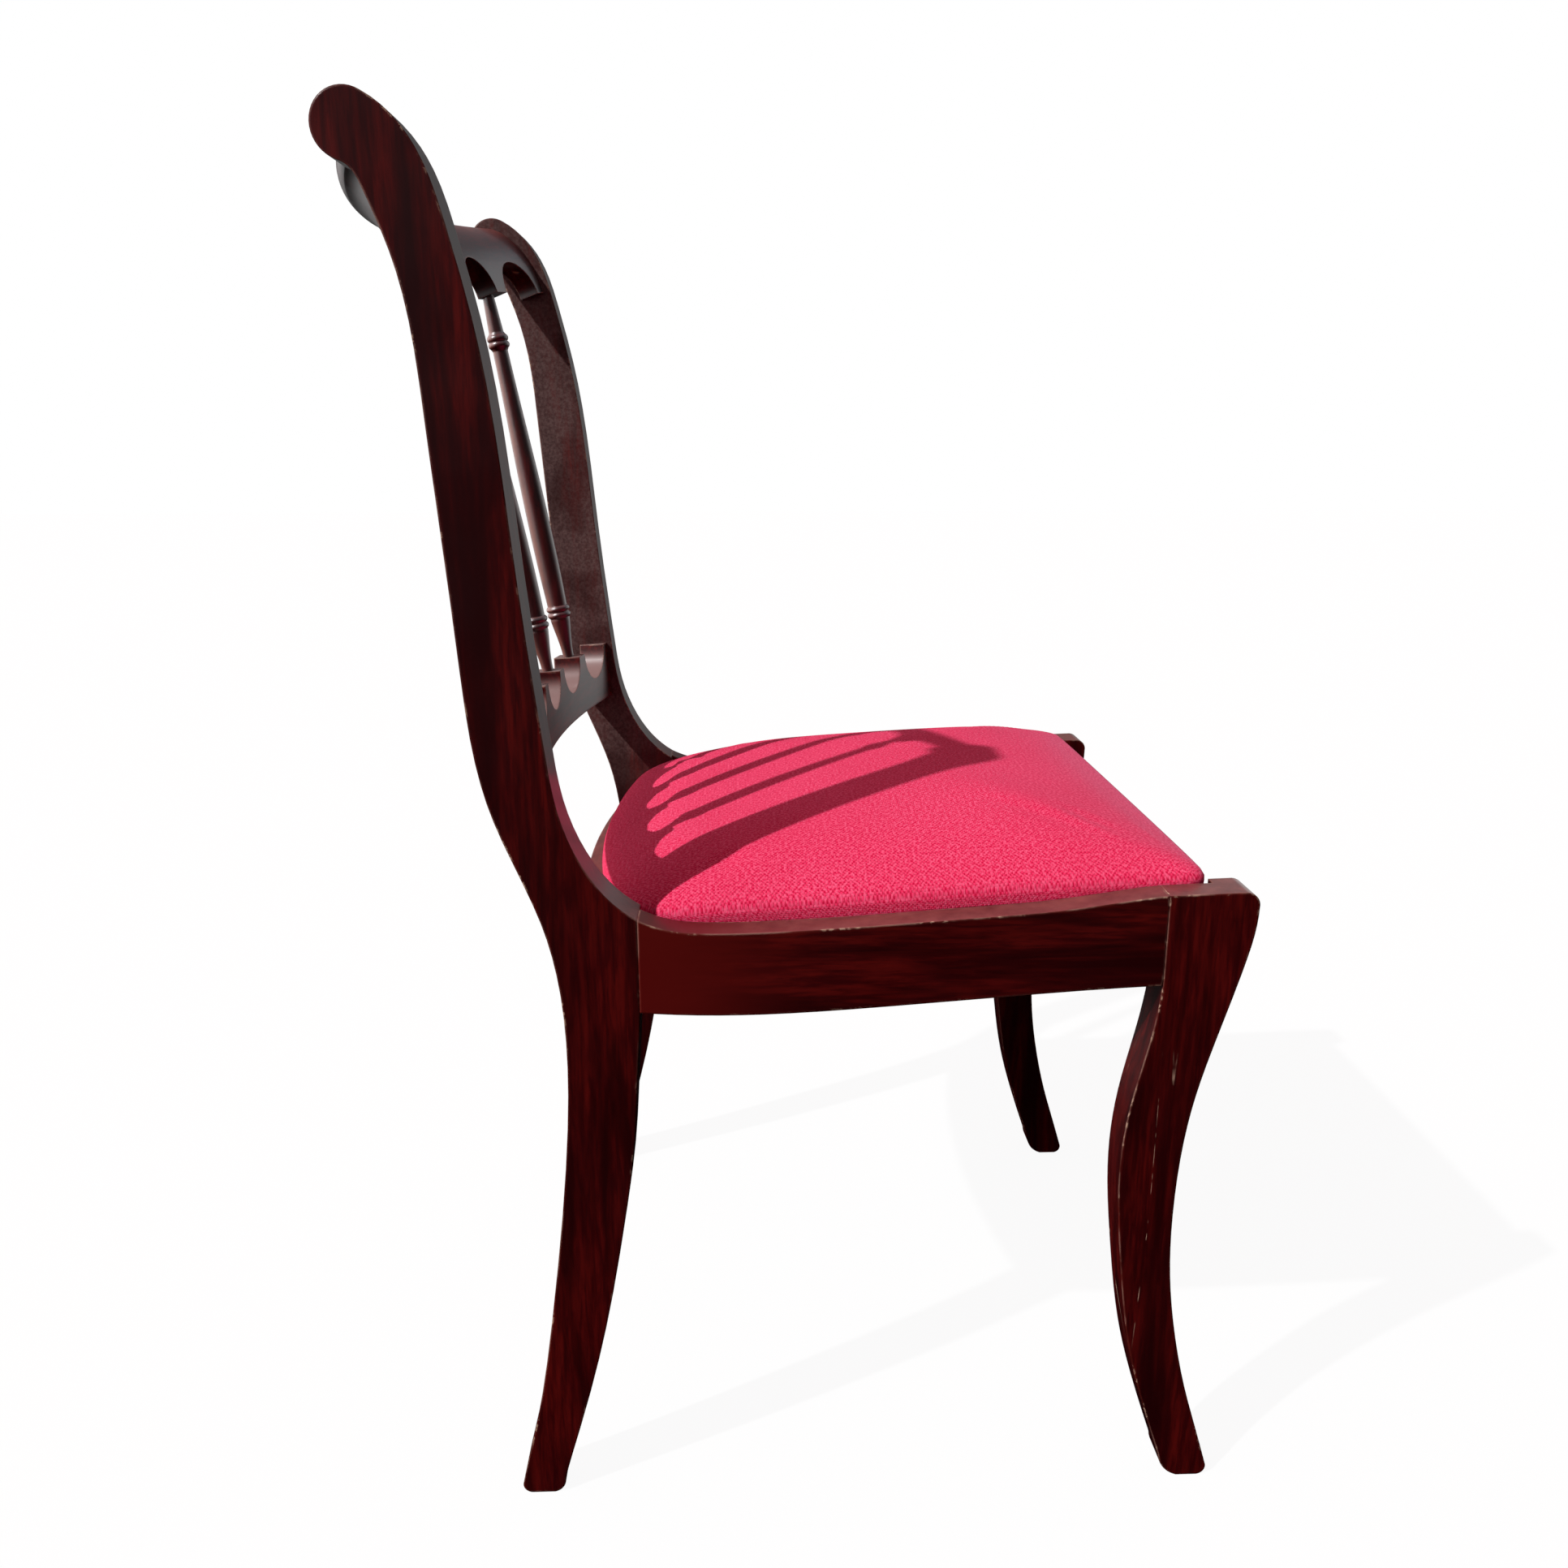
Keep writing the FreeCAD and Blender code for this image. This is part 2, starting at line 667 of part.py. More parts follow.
def main():
    os.makedirs("parts", exist_ok=True)
    parts = {}

    pegs = dowels()
    rear = rear_leg().cut(pegs)
    rear = rear.cut(lower_back_rail())
    front = front_leg().cut(pegs)
    rail = side_rail().cut(pegs).cut(screws())
    parts["rear_leg_right"] = rear
    parts["rear_leg_left"] = other_side(rear)
    parts["front_leg_right"] = front
    parts["front_leg_left"] = other_side(front)
    parts["side_rail_right"] = rail
    parts["side_rail_left"] = other_side(rail)
    parts["front_rail"] = front_rail().cut(pegs).cut(screws())
    parts["rear_rail"] = rear_rail().cut(pegs).cut(screws())

    crest = crest_rail().cut(pegs)
    lower = lower_back_rail()
    for place in spindle_places:
        x = place * bay_pitch
        low, high = spindle_sockets(x)
        lower = lower.cut(low)
        crest = crest.cut(high)
        parts["spindle_%d" % (place + 3)] = spindle(x)
    parts["crest_rail"] = crest
    parts["lower_back_rail"] = lower

    front_block = front_corner_block().cut(screws())
    rear_block = rear_corner_block().cut(screws())
    parts["corner_block_front_right"] = front_block
    parts["corner_block_front_left"] = other_side(front_block)
    parts["corner_block_rear_right"] = rear_block
    parts["corner_block_rear_left"] = other_side(rear_block)
    parts["corner_block_screws"] = screws(slotted=True)
    parts["rail_dowels"] = pegs

    seat = seat_frame_pieces()
    seat["seat_webbing"] = webbing()
    seat["seat_padding"] = padding()
    seat["seat_cover"] = cover()
    seat["cover_tacks"] = tacks()
    for name, shape in seat.items():
        parts[name] = lay_on_rebate(shape)

    for name, shape in parts.items():
        shape.translate(V(0, -overall_depth / 2, 0))
        size = shape.BoundBox
        print(name, shape.isValid(), len(shape.Solids), round(shape.Volume), size)
        shape.exportStep("parts/%s.step" % name)


main()
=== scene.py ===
# %% [markdown]
# # Side chair with scroll topped stiles and a spindle back
#
# The wooden parts come finished from the drawing, so this file gives them their
# dark red lacquer, rounds their edges to the eye and wears them a little. The loose
# seat is soft, so its cloth, its stuffing and its webbing are made here as surfaces.
# Everything is in metres. X runs across the chair, the front faces -Y, +Z is up.

import math

import bpy
import numpy as np
from mathutils import Matrix, Vector


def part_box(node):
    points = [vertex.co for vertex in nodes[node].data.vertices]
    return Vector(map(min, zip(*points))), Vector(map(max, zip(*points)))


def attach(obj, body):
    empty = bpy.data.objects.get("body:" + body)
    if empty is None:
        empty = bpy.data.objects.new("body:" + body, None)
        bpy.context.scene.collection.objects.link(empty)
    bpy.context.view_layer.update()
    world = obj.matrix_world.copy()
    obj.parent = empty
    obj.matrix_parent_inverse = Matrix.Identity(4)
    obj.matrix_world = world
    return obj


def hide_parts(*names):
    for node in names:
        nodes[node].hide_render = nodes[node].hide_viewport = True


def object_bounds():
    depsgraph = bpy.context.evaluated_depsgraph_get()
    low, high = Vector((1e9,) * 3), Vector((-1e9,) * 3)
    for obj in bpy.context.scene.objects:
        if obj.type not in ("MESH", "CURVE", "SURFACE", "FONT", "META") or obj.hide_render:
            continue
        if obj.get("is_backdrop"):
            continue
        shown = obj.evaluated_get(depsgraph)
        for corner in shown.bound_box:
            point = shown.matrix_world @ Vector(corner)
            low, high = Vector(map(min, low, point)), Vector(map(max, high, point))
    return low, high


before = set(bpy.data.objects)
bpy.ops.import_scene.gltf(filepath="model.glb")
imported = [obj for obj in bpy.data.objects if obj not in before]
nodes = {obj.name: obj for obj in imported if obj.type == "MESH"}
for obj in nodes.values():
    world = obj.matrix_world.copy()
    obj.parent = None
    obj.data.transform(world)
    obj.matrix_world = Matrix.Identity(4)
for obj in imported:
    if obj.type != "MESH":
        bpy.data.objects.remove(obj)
cad_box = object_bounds()
print("pieces from the drawing:", len(nodes))

# %% [markdown]
# ## The camera
#
# The chair was photographed close up with a wide lens, from the side and a little
# above the seat. A camera is placed by its own three axes: the way it looks, the way
# its top points and the way its right side points.

# %% Place the camera
camera_place = Vector((-0.9494, 0.0348, 0.6961))
camera_turn = math.radians(-1.97)
camera_tip = math.radians(15.04)
camera_roll = math.radians(-0.03)
photo_width = 1932
focal_length_in_pixels = 1584.2
sensor_width = 36.0


def camera_axes(turn, tip, roll):
    """Looking along +X, turned about Z, then tipped down, then rolled about the line of sight."""
    level = Vector((math.cos(turn), math.sin(turn), 0))
    right = Vector((math.sin(turn), -math.cos(turn), 0))
    forward = level * math.cos(tip) - Vector((0, 0, 1)) * math.sin(tip)
    up = level * math.sin(tip) + Vector((0, 0, 1)) * math.cos(tip)
    rolled_right = right * math.cos(roll) + up * math.sin(roll)
    rolled_up = up * math.cos(roll) - right * math.sin(roll)
    return rolled_right, rolled_up, forward


right, up, forward = camera_axes(camera_turn, camera_tip, camera_roll)
camera_data = bpy.data.cameras.new("photo_camera")
camera_data.sensor_width = sensor_width
camera_data.lens = focal_length_in_pixels * sensor_width / photo_width
camera_data.clip_start = 0.05
camera = bpy.data.objects.new("photo_camera", camera_data)
turned = Matrix((right, up, -forward)).transposed()
camera.matrix_world = Matrix.Translation(camera_place) @ turned.to_4x4()
bpy.context.scene.collection.objects.link(camera)
bpy.context.scene.camera = camera
print("lens in millimetres:", round(camera_data.lens, 2))

# %% [markdown]
# ## The light and the floor
#
# The light comes from high behind the back, because the spindles throw their shadows
# forwards across the seat. One far lamp gives those shadows. Round it lies a soft
# studio: pale beyond the chair and towards its front, paler still behind it, cooler
# overhead, and nearly dark on the camera's side. So the lacquer stays deep on the side
# frame, and the round spindles gather a pale stripe from behind. Polished surfaces see
# this room in full. Matt ones see a part of it, warmed as by light off the red cloth,
# so the shadows on the seat stay red.

# %% Set the lamp and the soft surroundings
light_travel = Vector((0.38, -0.636, -0.671))
lamp_data = bpy.data.lights.new("high_lamp", "SUN")
lamp_data.energy = 3.9
lamp_data.angle = math.radians(0.9)
lamp = bpy.data.objects.new("high_lamp", lamp_data)
lamp.rotation_mode = "QUATERNION"
lamp.rotation_quaternion = light_travel.to_track_quat("-Z", "Y")
bpy.context.scene.collection.objects.link(lamp)
bpy.context.scene.view_settings.view_transform = "Standard"

room_pale = (1.0, 1.0, 1.0, 1.0)
room_cool = (0.80, 0.88, 1.0, 1.0)
room_bright = 1.15
room_edge_on = 0.14
room_behind = 1.7
room_on_matt = 0.75
room_warm = (1.0, 0.66, 0.70, 1.0)
room_dim = 0.02
room_overhead = 0.50


def add(tree, kind, **values):
    """A new node of that kind, with its named properties set."""
    node = tree.nodes.new(kind)
    for name, value in values.items():
        setattr(node, name, value)
    return node


def math_node(tree, operation, first, second=None, third=None, clamp=False):
    """One Math node. Its inputs are numbers or other nodes' sockets."""
    node = add(tree, "ShaderNodeMath", operation=operation, use_clamp=clamp)
    for socket, value in zip(node.inputs, (first, second, third)):
        if value is None:
            continue
        if isinstance(value, (int, float)):
            socket.default_value = value
        else:
            tree.links.new(value, socket)
    return node.outputs[0]


def ramp_between(tree, value, low, high, to_low=0.0, to_high=1.0):
    """A smooth step of a value from low to high."""
    node = add(tree, "ShaderNodeMapRange", interpolation_type="SMOOTHSTEP")
    tree.links.new(value, node.inputs["Value"])
    ends = (("From Min", low), ("From Max", high), ("To Min", to_low), ("To Max", to_high))
    for name, number in ends:
        node.inputs[name].default_value = number
    return node.outputs["Result"]


world = bpy.data.worlds.new("studio")
bpy.context.scene.world = world
world.use_nodes = True
sky = world.node_tree
sky.nodes.clear()
direction = add(sky, "ShaderNodeTexCoord").outputs["Generated"]
split = add(sky, "ShaderNodeSeparateXYZ")
sky.links.new(direction, split.inputs[0])
beyond = ramp_between(sky, split.outputs["X"], -0.25, 0.75, room_dim, room_bright)
before = ramp_between(sky, split.outputs["Y"], -0.60, -0.22, 1.0, room_edge_on)
beyond = math_node(sky, "MULTIPLY", beyond, before)
behind = ramp_between(sky, split.outputs["Y"], 0.30, 0.80, 0.0, room_behind)
overhead = ramp_between(sky, split.outputs["Z"], 0.1, 1.0, 0.0, room_overhead)
brightest = math_node(sky, "MAXIMUM", math_node(sky, "MAXIMUM", beyond, overhead), behind)
above = ramp_between(sky, split.outputs["Z"], -0.35, -0.05)
path = add(sky, "ShaderNodeLightPath")
glossy_ray = path.outputs["Is Glossy Ray"]
room_share = math_node(sky, "MULTIPLY_ADD", glossy_ray, 1.0 - room_on_matt, room_on_matt)
glow = math_node(sky, "MULTIPLY", math_node(sky, "MULTIPLY", brightest, above), room_share)
cool = add(sky, "ShaderNodeMix", data_type="RGBA")
sky.links.new(ramp_between(sky, split.outputs["Z"], 0.2, 0.8), cool.inputs["Factor"])
cool.inputs[6].default_value = room_pale
cool.inputs[7].default_value = room_cool
tinted = add(sky, "ShaderNodeMix", data_type="RGBA")
sky.links.new(glossy_ray, tinted.inputs["Factor"])
tinted.inputs[6].default_value = room_warm
sky.links.new(cool.outputs[2], tinted.inputs[7])
seen = add(sky, "ShaderNodeBackground")
seen.inputs["Color"].default_value = room_pale
felt = add(sky, "ShaderNodeBackground")
sky.links.new(tinted.outputs[2], felt.inputs["Color"])
sky.links.new(glow, felt.inputs["Strength"])
which = add(sky, "ShaderNodeMixShader")
sky.links.new(path.outputs["Is Camera Ray"], which.inputs[0])
sky.links.new(felt.outputs[0], which.inputs[1])
sky.links.new(seen.outputs[0], which.inputs[2])
sky.links.new(which.outputs[0], add(sky, "ShaderNodeOutputWorld").inputs[0])

# %% [markdown]
# The floor is a pale sheet that mostly glows by itself, so it stays plain and takes
# only a light shadow. It sends no light back up, as the ground under the real chair
# was dark and the undersides stayed nearly black.

# %% Lay the floor
floor_reach = 12.0
shadow_share = 0.06
floor_mesh = bpy.data.meshes.new("floor")
floor_corners = np.array([(-1, -1, 0), (1, -1, 0), (1, 1, 0), (-1, 1, 0)]) * floor_reach
floor_mesh.from_pydata(floor_corners.tolist(), [], [(0, 1, 2, 3)])
floor = bpy.data.objects.new("floor", floor_mesh)
bpy.context.scene.collection.objects.link(floor)
floor_paint = bpy.data.materials.new("pale_floor")
floor_paint.use_nodes = True
paint = floor_paint.node_tree
paint.nodes.clear()
glowing = add(paint, "ShaderNodeEmission")
glowing.inputs["Color"].default_value = room_pale
plain = add(paint, "ShaderNodeBsdfDiffuse")
plain.inputs["Color"].default_value = (0.8, 0.8, 0.8, 1.0)
both = add(paint, "ShaderNodeMixShader")
both.inputs[0].default_value = shadow_share
paint.links.new(glowing.outputs[0], both.inputs[1])
paint.links.new(plain.outputs[0], both.inputs[2])
paint.links.new(both.outputs[0], add(paint, "ShaderNodeOutputMaterial").inputs[0])
floor_mesh.materials.append(floor_paint)
floor.visible_diffuse = False
floor.visible_glossy = False
floor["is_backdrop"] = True

# %% [markdown]
# ## Figure of the wood
#
# Stained mahogany shows two things: broad cloudy patches where the stain took more
# or less, and fine dark streaks that run with the grain. Both come from noise that
# is drawn out along the grain, so the group takes a position already stretched.

# %% Build the grain group


def new_group(name, inputs, outputs):
    """An empty shader group with named sockets; returns it with its inner ends."""
    group = bpy.data.node_groups.new(name, "ShaderNodeTree")
    for socket_name, kind, value in inputs:
        socket = group.interface.new_socket(name=socket_name, in_out="INPUT", socket_type=kind)
        if value is not None:
            socket.default_value = value
    for socket_name, kind in outputs:
        group.interface.new_socket(name=socket_name, in_out="OUTPUT", socket_type=kind)
    start = group.nodes.new("NodeGroupInput")
    end = group.nodes.new("NodeGroupOutput")
    return group, start, end


def noise(tree, vector, scale, detail=3.0, roughness=0.5, distortion=0.0):
    """Noise from 0 to 1 at a vector, so many cells to its unit."""
    node = add(tree, "ShaderNodeTexNoise")
    tree.links.new(vector, node.inputs["Vector"])
    node.inputs["Scale"].default_value = scale
    node.inputs["Detail"].default_value = detail
    node.inputs["Roughness"].default_value = roughness
    node.inputs["Distortion"].default_value = distortion
    return node.outputs["Fac"]


grain, grain_in, grain_out = new_group(
    "grain",
    [("Stretched", "NodeSocketVector", None)],
    [("Cloud", "NodeSocketFloat"), ("Streak", "NodeSocketFloat"), ("Height", "NodeSocketFloat")],
)
cloud = noise(grain, grain_in.outputs[0], 1.1, 4.0, 0.6, 0.8)
streak = noise(grain, grain_in.outputs[0], 9.0, 5.0, 0.65, 0.3)
grain.links.new(ramp_between(grain, cloud, 0.36, 0.66), grain_out.inputs["Cloud"])
grain.links.new(ramp_between(grain, streak, 0.35, 0.68), grain_out.inputs["Streak"])
grain.links.new(streak, grain_out.inputs["Height"])

# %% [markdown]
# ## Softened and worn edges
#
# Real edges are rubbed round, and there the lacquer catches the light and chips.
# The Bevel node compares each point with its neighbours round the corner. Its normal
# softens the edge, and how far it leans away from the face tells where an edge is.
# Along the very arris the stain is rubbed off in stretches.

# %% Build the edge group
edge, edge_in, edge_out = new_group(
    "edge",
    [("Position", "NodeSocketVector", None), ("Chips", "NodeSocketFloat", 0.5)],
    [("Normal", "NodeSocketVector"), ("Edge", "NodeSocketFloat"),
     ("Arris", "NodeSocketFloat"), ("Chip", "NodeSocketFloat")],
)
edge_round = 0.0018
edge_reach = 0.0028
soft = add(edge, "ShaderNodeBevel", samples=6)
soft.inputs["Radius"].default_value = edge_round
wide = add(edge, "ShaderNodeBevel", samples=6)
wide.inputs["Radius"].default_value = edge_reach
true_normal = add(edge, "ShaderNodeNewGeometry").outputs["Normal"]
agree = add(edge, "ShaderNodeVectorMath", operation="DOT_PRODUCT")
edge.links.new(wide.outputs[0], agree.inputs[0])
edge.links.new(true_normal, agree.inputs[1])
lean = math_node(edge, "SUBTRACT", 1.0, agree.outputs["Value"])
edge_mask = ramp_between(edge, lean, 0.02, 0.22)
patches = noise(edge, edge_in.outputs["Position"], 26.0, 3.0, 0.6)
specks = noise(edge, edge_in.outputs["Position"], 240.0, 3.0, 0.6)
rare = ramp_between(edge, patches, 0.54, 0.60)
broken = ramp_between(edge, specks, 0.48, 0.55)
sharp = ramp_between(edge, lean, 0.12, 0.26)
stretches = noise(edge, edge_in.outputs["Position"], 34.0, 3.0, 0.6)
often = ramp_between(edge, stretches, 0.44, 0.58)
arris = math_node(edge, "MULTIPLY", sharp, often)
chip = math_node(edge, "MULTIPLY", math_node(edge, "MULTIPLY", rare, broken), edge_mask)
chip = math_node(edge, "MULTIPLY", chip, edge_in.outputs["Chips"])
edge.links.new(soft.outputs[0], edge_out.inputs["Normal"])
edge.links.new(edge_mask, edge_out.inputs["Edge"])
edge.links.new(arris, edge_out.inputs["Arris"])
edge.links.new(chip, edge_out.inputs["Chip"])

# %% [markdown]
# ## Lacquered mahogany
#
# A dark red stain lies under a clear coat. The stain is the base colour, deep where
# it pooled and redder where the figure is light. The coat is the Principled shader's
# own, a little blurred, as old lacquer is. The grain follows each piece's length, so
# there is one material for uprights, one for the side rails and one for what runs
# across the chair. Whatever faces up is painted a dusty pink. This is partly real
# fading and partly a painted reflection of the pink seat and the pale room.

# %% Make the mahogany
stain_dark = (0.016, 0.0003, 0.0008, 1.0)
stain_mid = (0.033, 0.0008, 0.0015, 1.0)
stain_light = (0.090, 0.0040, 0.0032, 1.0)
stain_rubbed = (0.20, 0.035, 0.022, 1.0)
stain_gone = (0.60, 0.40, 0.31, 1.0)
bare_wood = (0.62, 0.42, 0.30, 1.0)
# Dusty pink for up-facing wood: partly real fading, partly a painted reflection of the pink seat
# and the pale room.
faded_and_reflected = (0.26, 0.085, 0.075, 1.0)
# Painted grey highlight for the lower rail's hollows, where they face up to the light.
painted_hollow_highlight = (0.20, 0.125, 0.115, 1.0)
# Painted highlight for the spindles' sides that face the lamp behind the chair.
painted_lit_pale = (0.21, 0.082, 0.060, 1.0)
dust = (0.125, 0.080, 0.074, 1.0)
edge_worn = 0.30
arris_worn = 0.40


def mix_colour(tree, factor, first, second):
    """One colour over another by a factor. A colour is four numbers or a socket."""
    node = add(tree, "ShaderNodeMix", data_type="RGBA")
    tree.links.new(factor, node.inputs["Factor"])
    for socket, value in ((node.inputs[6], first), (node.inputs[7], second)):
        if isinstance(value, tuple):
            socket.default_value = value
        else:
            tree.links.new(value, socket)
    return node.outputs[2]


def new_material(name, roughness, metallic=0.0):
    """A material with an empty Principled shader; returns its tree and that shader."""
    material = bpy.data.materials.new(name)
    material.use_nodes = True
    tree = material.node_tree
    shader = tree.nodes["Principled BSDF"]
    shader.inputs["Roughness"].default_value = roughness
    shader.inputs["Metallic"].default_value = metallic
    return material, tree, shader


def use_group(tree, group, **links):
    """One copy of a shared group, with its inputs set to numbers or linked to sockets."""
    node = add(tree, "ShaderNodeGroup", node_tree=group)
    for name, value in links.items():
        if isinstance(value, (int, float)):
            node.inputs[name].default_value = value
        else:
            tree.links.new(value, node.inputs[name])
    return node.outputs


def axis_value(tree, place, axis):
    """One coordinate of a position."""
    node = add(tree, "ShaderNodeSeparateXYZ")
    tree.links.new(place, node.inputs[0])
    return node.outputs[axis]


def mahogany(name, stretch, chips, extra=None, haze=0.14, gloss=0.24):
    """Stained and lacquered wood. stretch is the noise's scale along X, Y and Z."""
    material, tree, shader = new_material(name, 0.3)
    place = add(tree, "ShaderNodeTexCoord").outputs["Object"]
    mapping = add(tree, "ShaderNodeMapping")
    tree.links.new(place, mapping.inputs["Vector"])
    mapping.inputs["Scale"].default_value = stretch
    figure = use_group(tree, grain, Stretched=mapping.outputs[0])
    wear = use_group(tree, edge, Position=place, Chips=chips)
    stained = mix_colour(tree, figure["Cloud"], stain_dark, stain_mid)
    lit = math_node(tree, "MULTIPLY", figure["Cloud"], figure["Streak"])
    stained = mix_colour(tree, lit, stained, stain_light)
    facing = axis_value(tree, add(tree, "ShaderNodeNewGeometry").outputs["Normal"], "Z")
    patchy = noise(tree, place, 70.0, 4.0, 0.65)
    # Up-facing wood turns dusty pink: partly real fading, partly a painted reflection of the seat
    # and the room.
    fading_and_reflection = math_node(tree, "MULTIPLY", ramp_between(tree, facing, 0.55, 0.95), patchy)
    stained = mix_colour(tree, fading_and_reflection, stained, faded_and_reflected)
    scuffed = wear["Chip"]
    if extra:
        stained, scuffed = extra(tree, place, stained, scuffed)
    thin = math_node(tree, "MULTIPLY", wear["Edge"], edge_worn)
    rubbed = mix_colour(tree, thin, stained, stain_rubbed)
    worn_off = math_node(tree, "MULTIPLY", wear["Arris"], arris_worn)
    rubbed = mix_colour(tree, worn_off, rubbed, stain_gone)
    tree.links.new(mix_colour(tree, scuffed, rubbed, bare_wood), shader.inputs["Base Color"])
    handled = noise(tree, place, 14.0, 3.0, 0.6)
    blur = math_node(tree, "MULTIPLY_ADD", handled, 0.16, 0.26)
    tree.links.new(math_node(tree, "MAXIMUM", blur, scuffed), shader.inputs["Roughness"])
    bump = add(tree, "ShaderNodeBump")
    bump.inputs["Strength"].default_value = 0.05
    bump.inputs["Distance"].default_value = 0.0004
    tree.links.new(figure["Height"], bump.inputs["Height"])
    tree.links.new(wear["Normal"], bump.inputs["Normal"])
    tree.links.new(bump.outputs[0], shader.inputs["Normal"])
    shader.inputs["Coat Weight"].default_value = 0.30
    shader.inputs["Coat Roughness"].default_value = haze
    shader.inputs["Specular IOR Level"].default_value = gloss
    return material


# %% [markdown]
# Five places differ from the rest. The seat rails are redder at their rear ends. The
# inner face of the left stile is dull with dust. The right front leg, the one nearest
# to passing feet, carries long thin scratches: noise drawn out along the leg, kept
# only where it crosses its middle value, within one patch of the leg. The spindles are
# painted paler behind, a painted highlight on the side that the lamp lights, and the
# lower rail's hollows carry a painted grey highlight where they face up.

# %% Describe the five odd places
rail_red_from = -0.02
rail_red_to = 0.09
stile_inner = 0.1925
scratch_low = 0.10
scratch_high = 0.33
scratch_fade = 0.05
scratch_strength = 0.9


def redder_rear(tree, place, stained, scuffed):
    """Redder stain towards the rear joint of a seat rail."""
    along = ramp_between(tree, axis_value(tree, place, "Y"), rail_red_from, rail_red_to, 0.0, 0.95)
    return mix_colour(tree, along, stained, stain_light), scuffed


def dusty_inside(tree, place, stained, scuffed):
    """Grey dust on the inner face of the stile on the chair's left."""
    sideways = axis_value(tree, place, "X")
    inner = ramp_between(tree, sideways, stile_inner - 0.0004, stile_inner, 1.0, 0.0)
    upper = ramp_between(tree, axis_value(tree, place, "Z"), 0.36, 0.46)
    grainy = ramp_between(tree, noise(tree, place, 420.0, 3.0, 0.7), 0.30, 0.75, 0.35, 1.0)
    wiped = ramp_between(tree, noise(tree, place, 16.0, 2.0, 0.5), 0.38, 0.52, 0.45, 1.0)
    grainy = math_node(tree, "MULTIPLY", grainy, wiped)
    amount = math_node(tree, "MULTIPLY", math_node(tree, "MULTIPLY", inner, upper), grainy)
    left = ramp_between(tree, sideways, 0.18, 0.19)
    return mix_colour(tree, math_node(tree, "MULTIPLY", amount, left), stained, dust), scuffed


def scratched(tree, place, stained, scuffed):
    """Thin pale lines along the leg, broken up and kept to its middle."""
    mapping = add(tree, "ShaderNodeMapping")
    tree.links.new(place, mapping.inputs["Vector"])
    mapping.inputs["Scale"].default_value = (30.0, 60.0, 2.2)
    mapping.inputs["Rotation"].default_value = (0.12, 0.0, 0.0)
    wave = noise(tree, mapping.outputs[0], 1.0, 1.0, 0.4)
    off = math_node(tree, "ABSOLUTE", math_node(tree, "SUBTRACT", wave, 0.5))
    line = ramp_between(tree, off, 0.0, 0.008, 1.0, 0.0)
    gaps = ramp_between(tree, noise(tree, place, 60.0, 2.0, 0.5), 0.50, 0.60)
    level = axis_value(tree, place, "Z")
    low = ramp_between(tree, level, scratch_low, scratch_low + scratch_fade)
    high = ramp_between(tree, level, scratch_high - scratch_fade, scratch_high, 1.0, 0.0)
    within = math_node(tree, "MULTIPLY", low, high)
    amount = math_node(tree, "MULTIPLY", math_node(tree, "MULTIPLY", line, gaps), within)
    amount = math_node(tree, "MULTIPLY", amount, scratch_strength)
    return stained, math_node(tree, "MAXIMUM", scuffed, amount)


def painted_lit_back(tree, place, stained, scuffed):
    """Painted highlight: paler colour, in clouds, on all that faces the back of the chair, towards
    the lamp.
    """
    normal = add(tree, "ShaderNodeNewGeometry").outputs["Normal"]
    back = ramp_between(tree, axis_value(tree, normal, "Y"), 0.10, 0.75)
    cloudy = ramp_between(tree, noise(tree, place, 38.0, 3.0, 0.6), 0.30, 0.60, 0.55, 1.0)
    amount = math_node(tree, "MULTIPLY", back, cloudy)
    return mix_colour(tree, amount, stained, painted_lit_pale), scuffed


def painted_highlight_up(tree, place, stained, scuffed):
    """A painted grey highlight in the hollows, on all that faces at least a little up."""
    normal = add(tree, "ShaderNodeNewGeometry").outputs["Normal"]
    open_up = ramp_between(tree, axis_value(tree, normal, "Z"), 0.12, 0.60)
    return mix_colour(tree, open_up, stained, painted_hollow_highlight), scuffed


# %% Make each wood
along_grain = 3.0
across_grain = 34.0
upright = (across_grain, across_grain, along_grain)
upright_wood = mahogany("mahogany_upright", upright, 0.9)
dusty_wood = mahogany("mahogany_dusty", upright, 0.9, dusty_inside)
scratched_wood = mahogany("mahogany_scratched", upright, 1.0, scratched)
lengthwise = (across_grain, along_grain, across_grain)
rail_wood = mahogany("mahogany_side_rail", lengthwise, 0.8, redder_rear)
crosswise = (along_grain, across_grain, across_grain)
cross_wood = mahogany("mahogany_crosswise", crosswise, 0.5, gloss=0.36)
hollowed_wood = mahogany("mahogany_hollowed", crosswise, 0.5, painted_highlight_up, haze=0.22)
turned_wood = mahogany("mahogany_turned", upright, 0.3, painted_lit_back, haze=0.36)
turned_shader = turned_wood.node_tree.nodes["Principled BSDF"]
turned_shader.inputs["Coat Weight"].default_value = 0.8
turned_shader.inputs["Specular IOR Level"].default_value = 0.6


def dress(material, *names):
    """Give pieces of the drawing a material of this file."""
    for name in names:
        mesh = nodes[name].data
        mesh.materials.clear()
        mesh.materials.append(material)


dress(upright_wood, "rear_leg_right", "front_leg_left")
dress(dusty_wood, "rear_leg_left")
dress(scratched_wood, "front_leg_right")
dress(turned_wood, "spindle_1", "spindle_2", "spindle_3", "spindle_4", "spindle_5")
dress(rail_wood, "side_rail_right", "side_rail_left")
dress(cross_wood, "front_rail", "rear_rail", "crest_rail")
dress(hollowed_wood, "lower_back_rail")

# %% [markdown]
# ## Hidden wood and metal
#
# Under the seat the maker saved the good wood. The corner blocks, the dowels and the
# seat's own frame are plain beech, sawn and left bare. Screws and tacks are dull steel.

# %% Make the beech and the steel
beech_pale = (0.52, 0.33, 0.17, 1.0)
beech_dark = (0.36, 0.20, 0.09, 1.0)


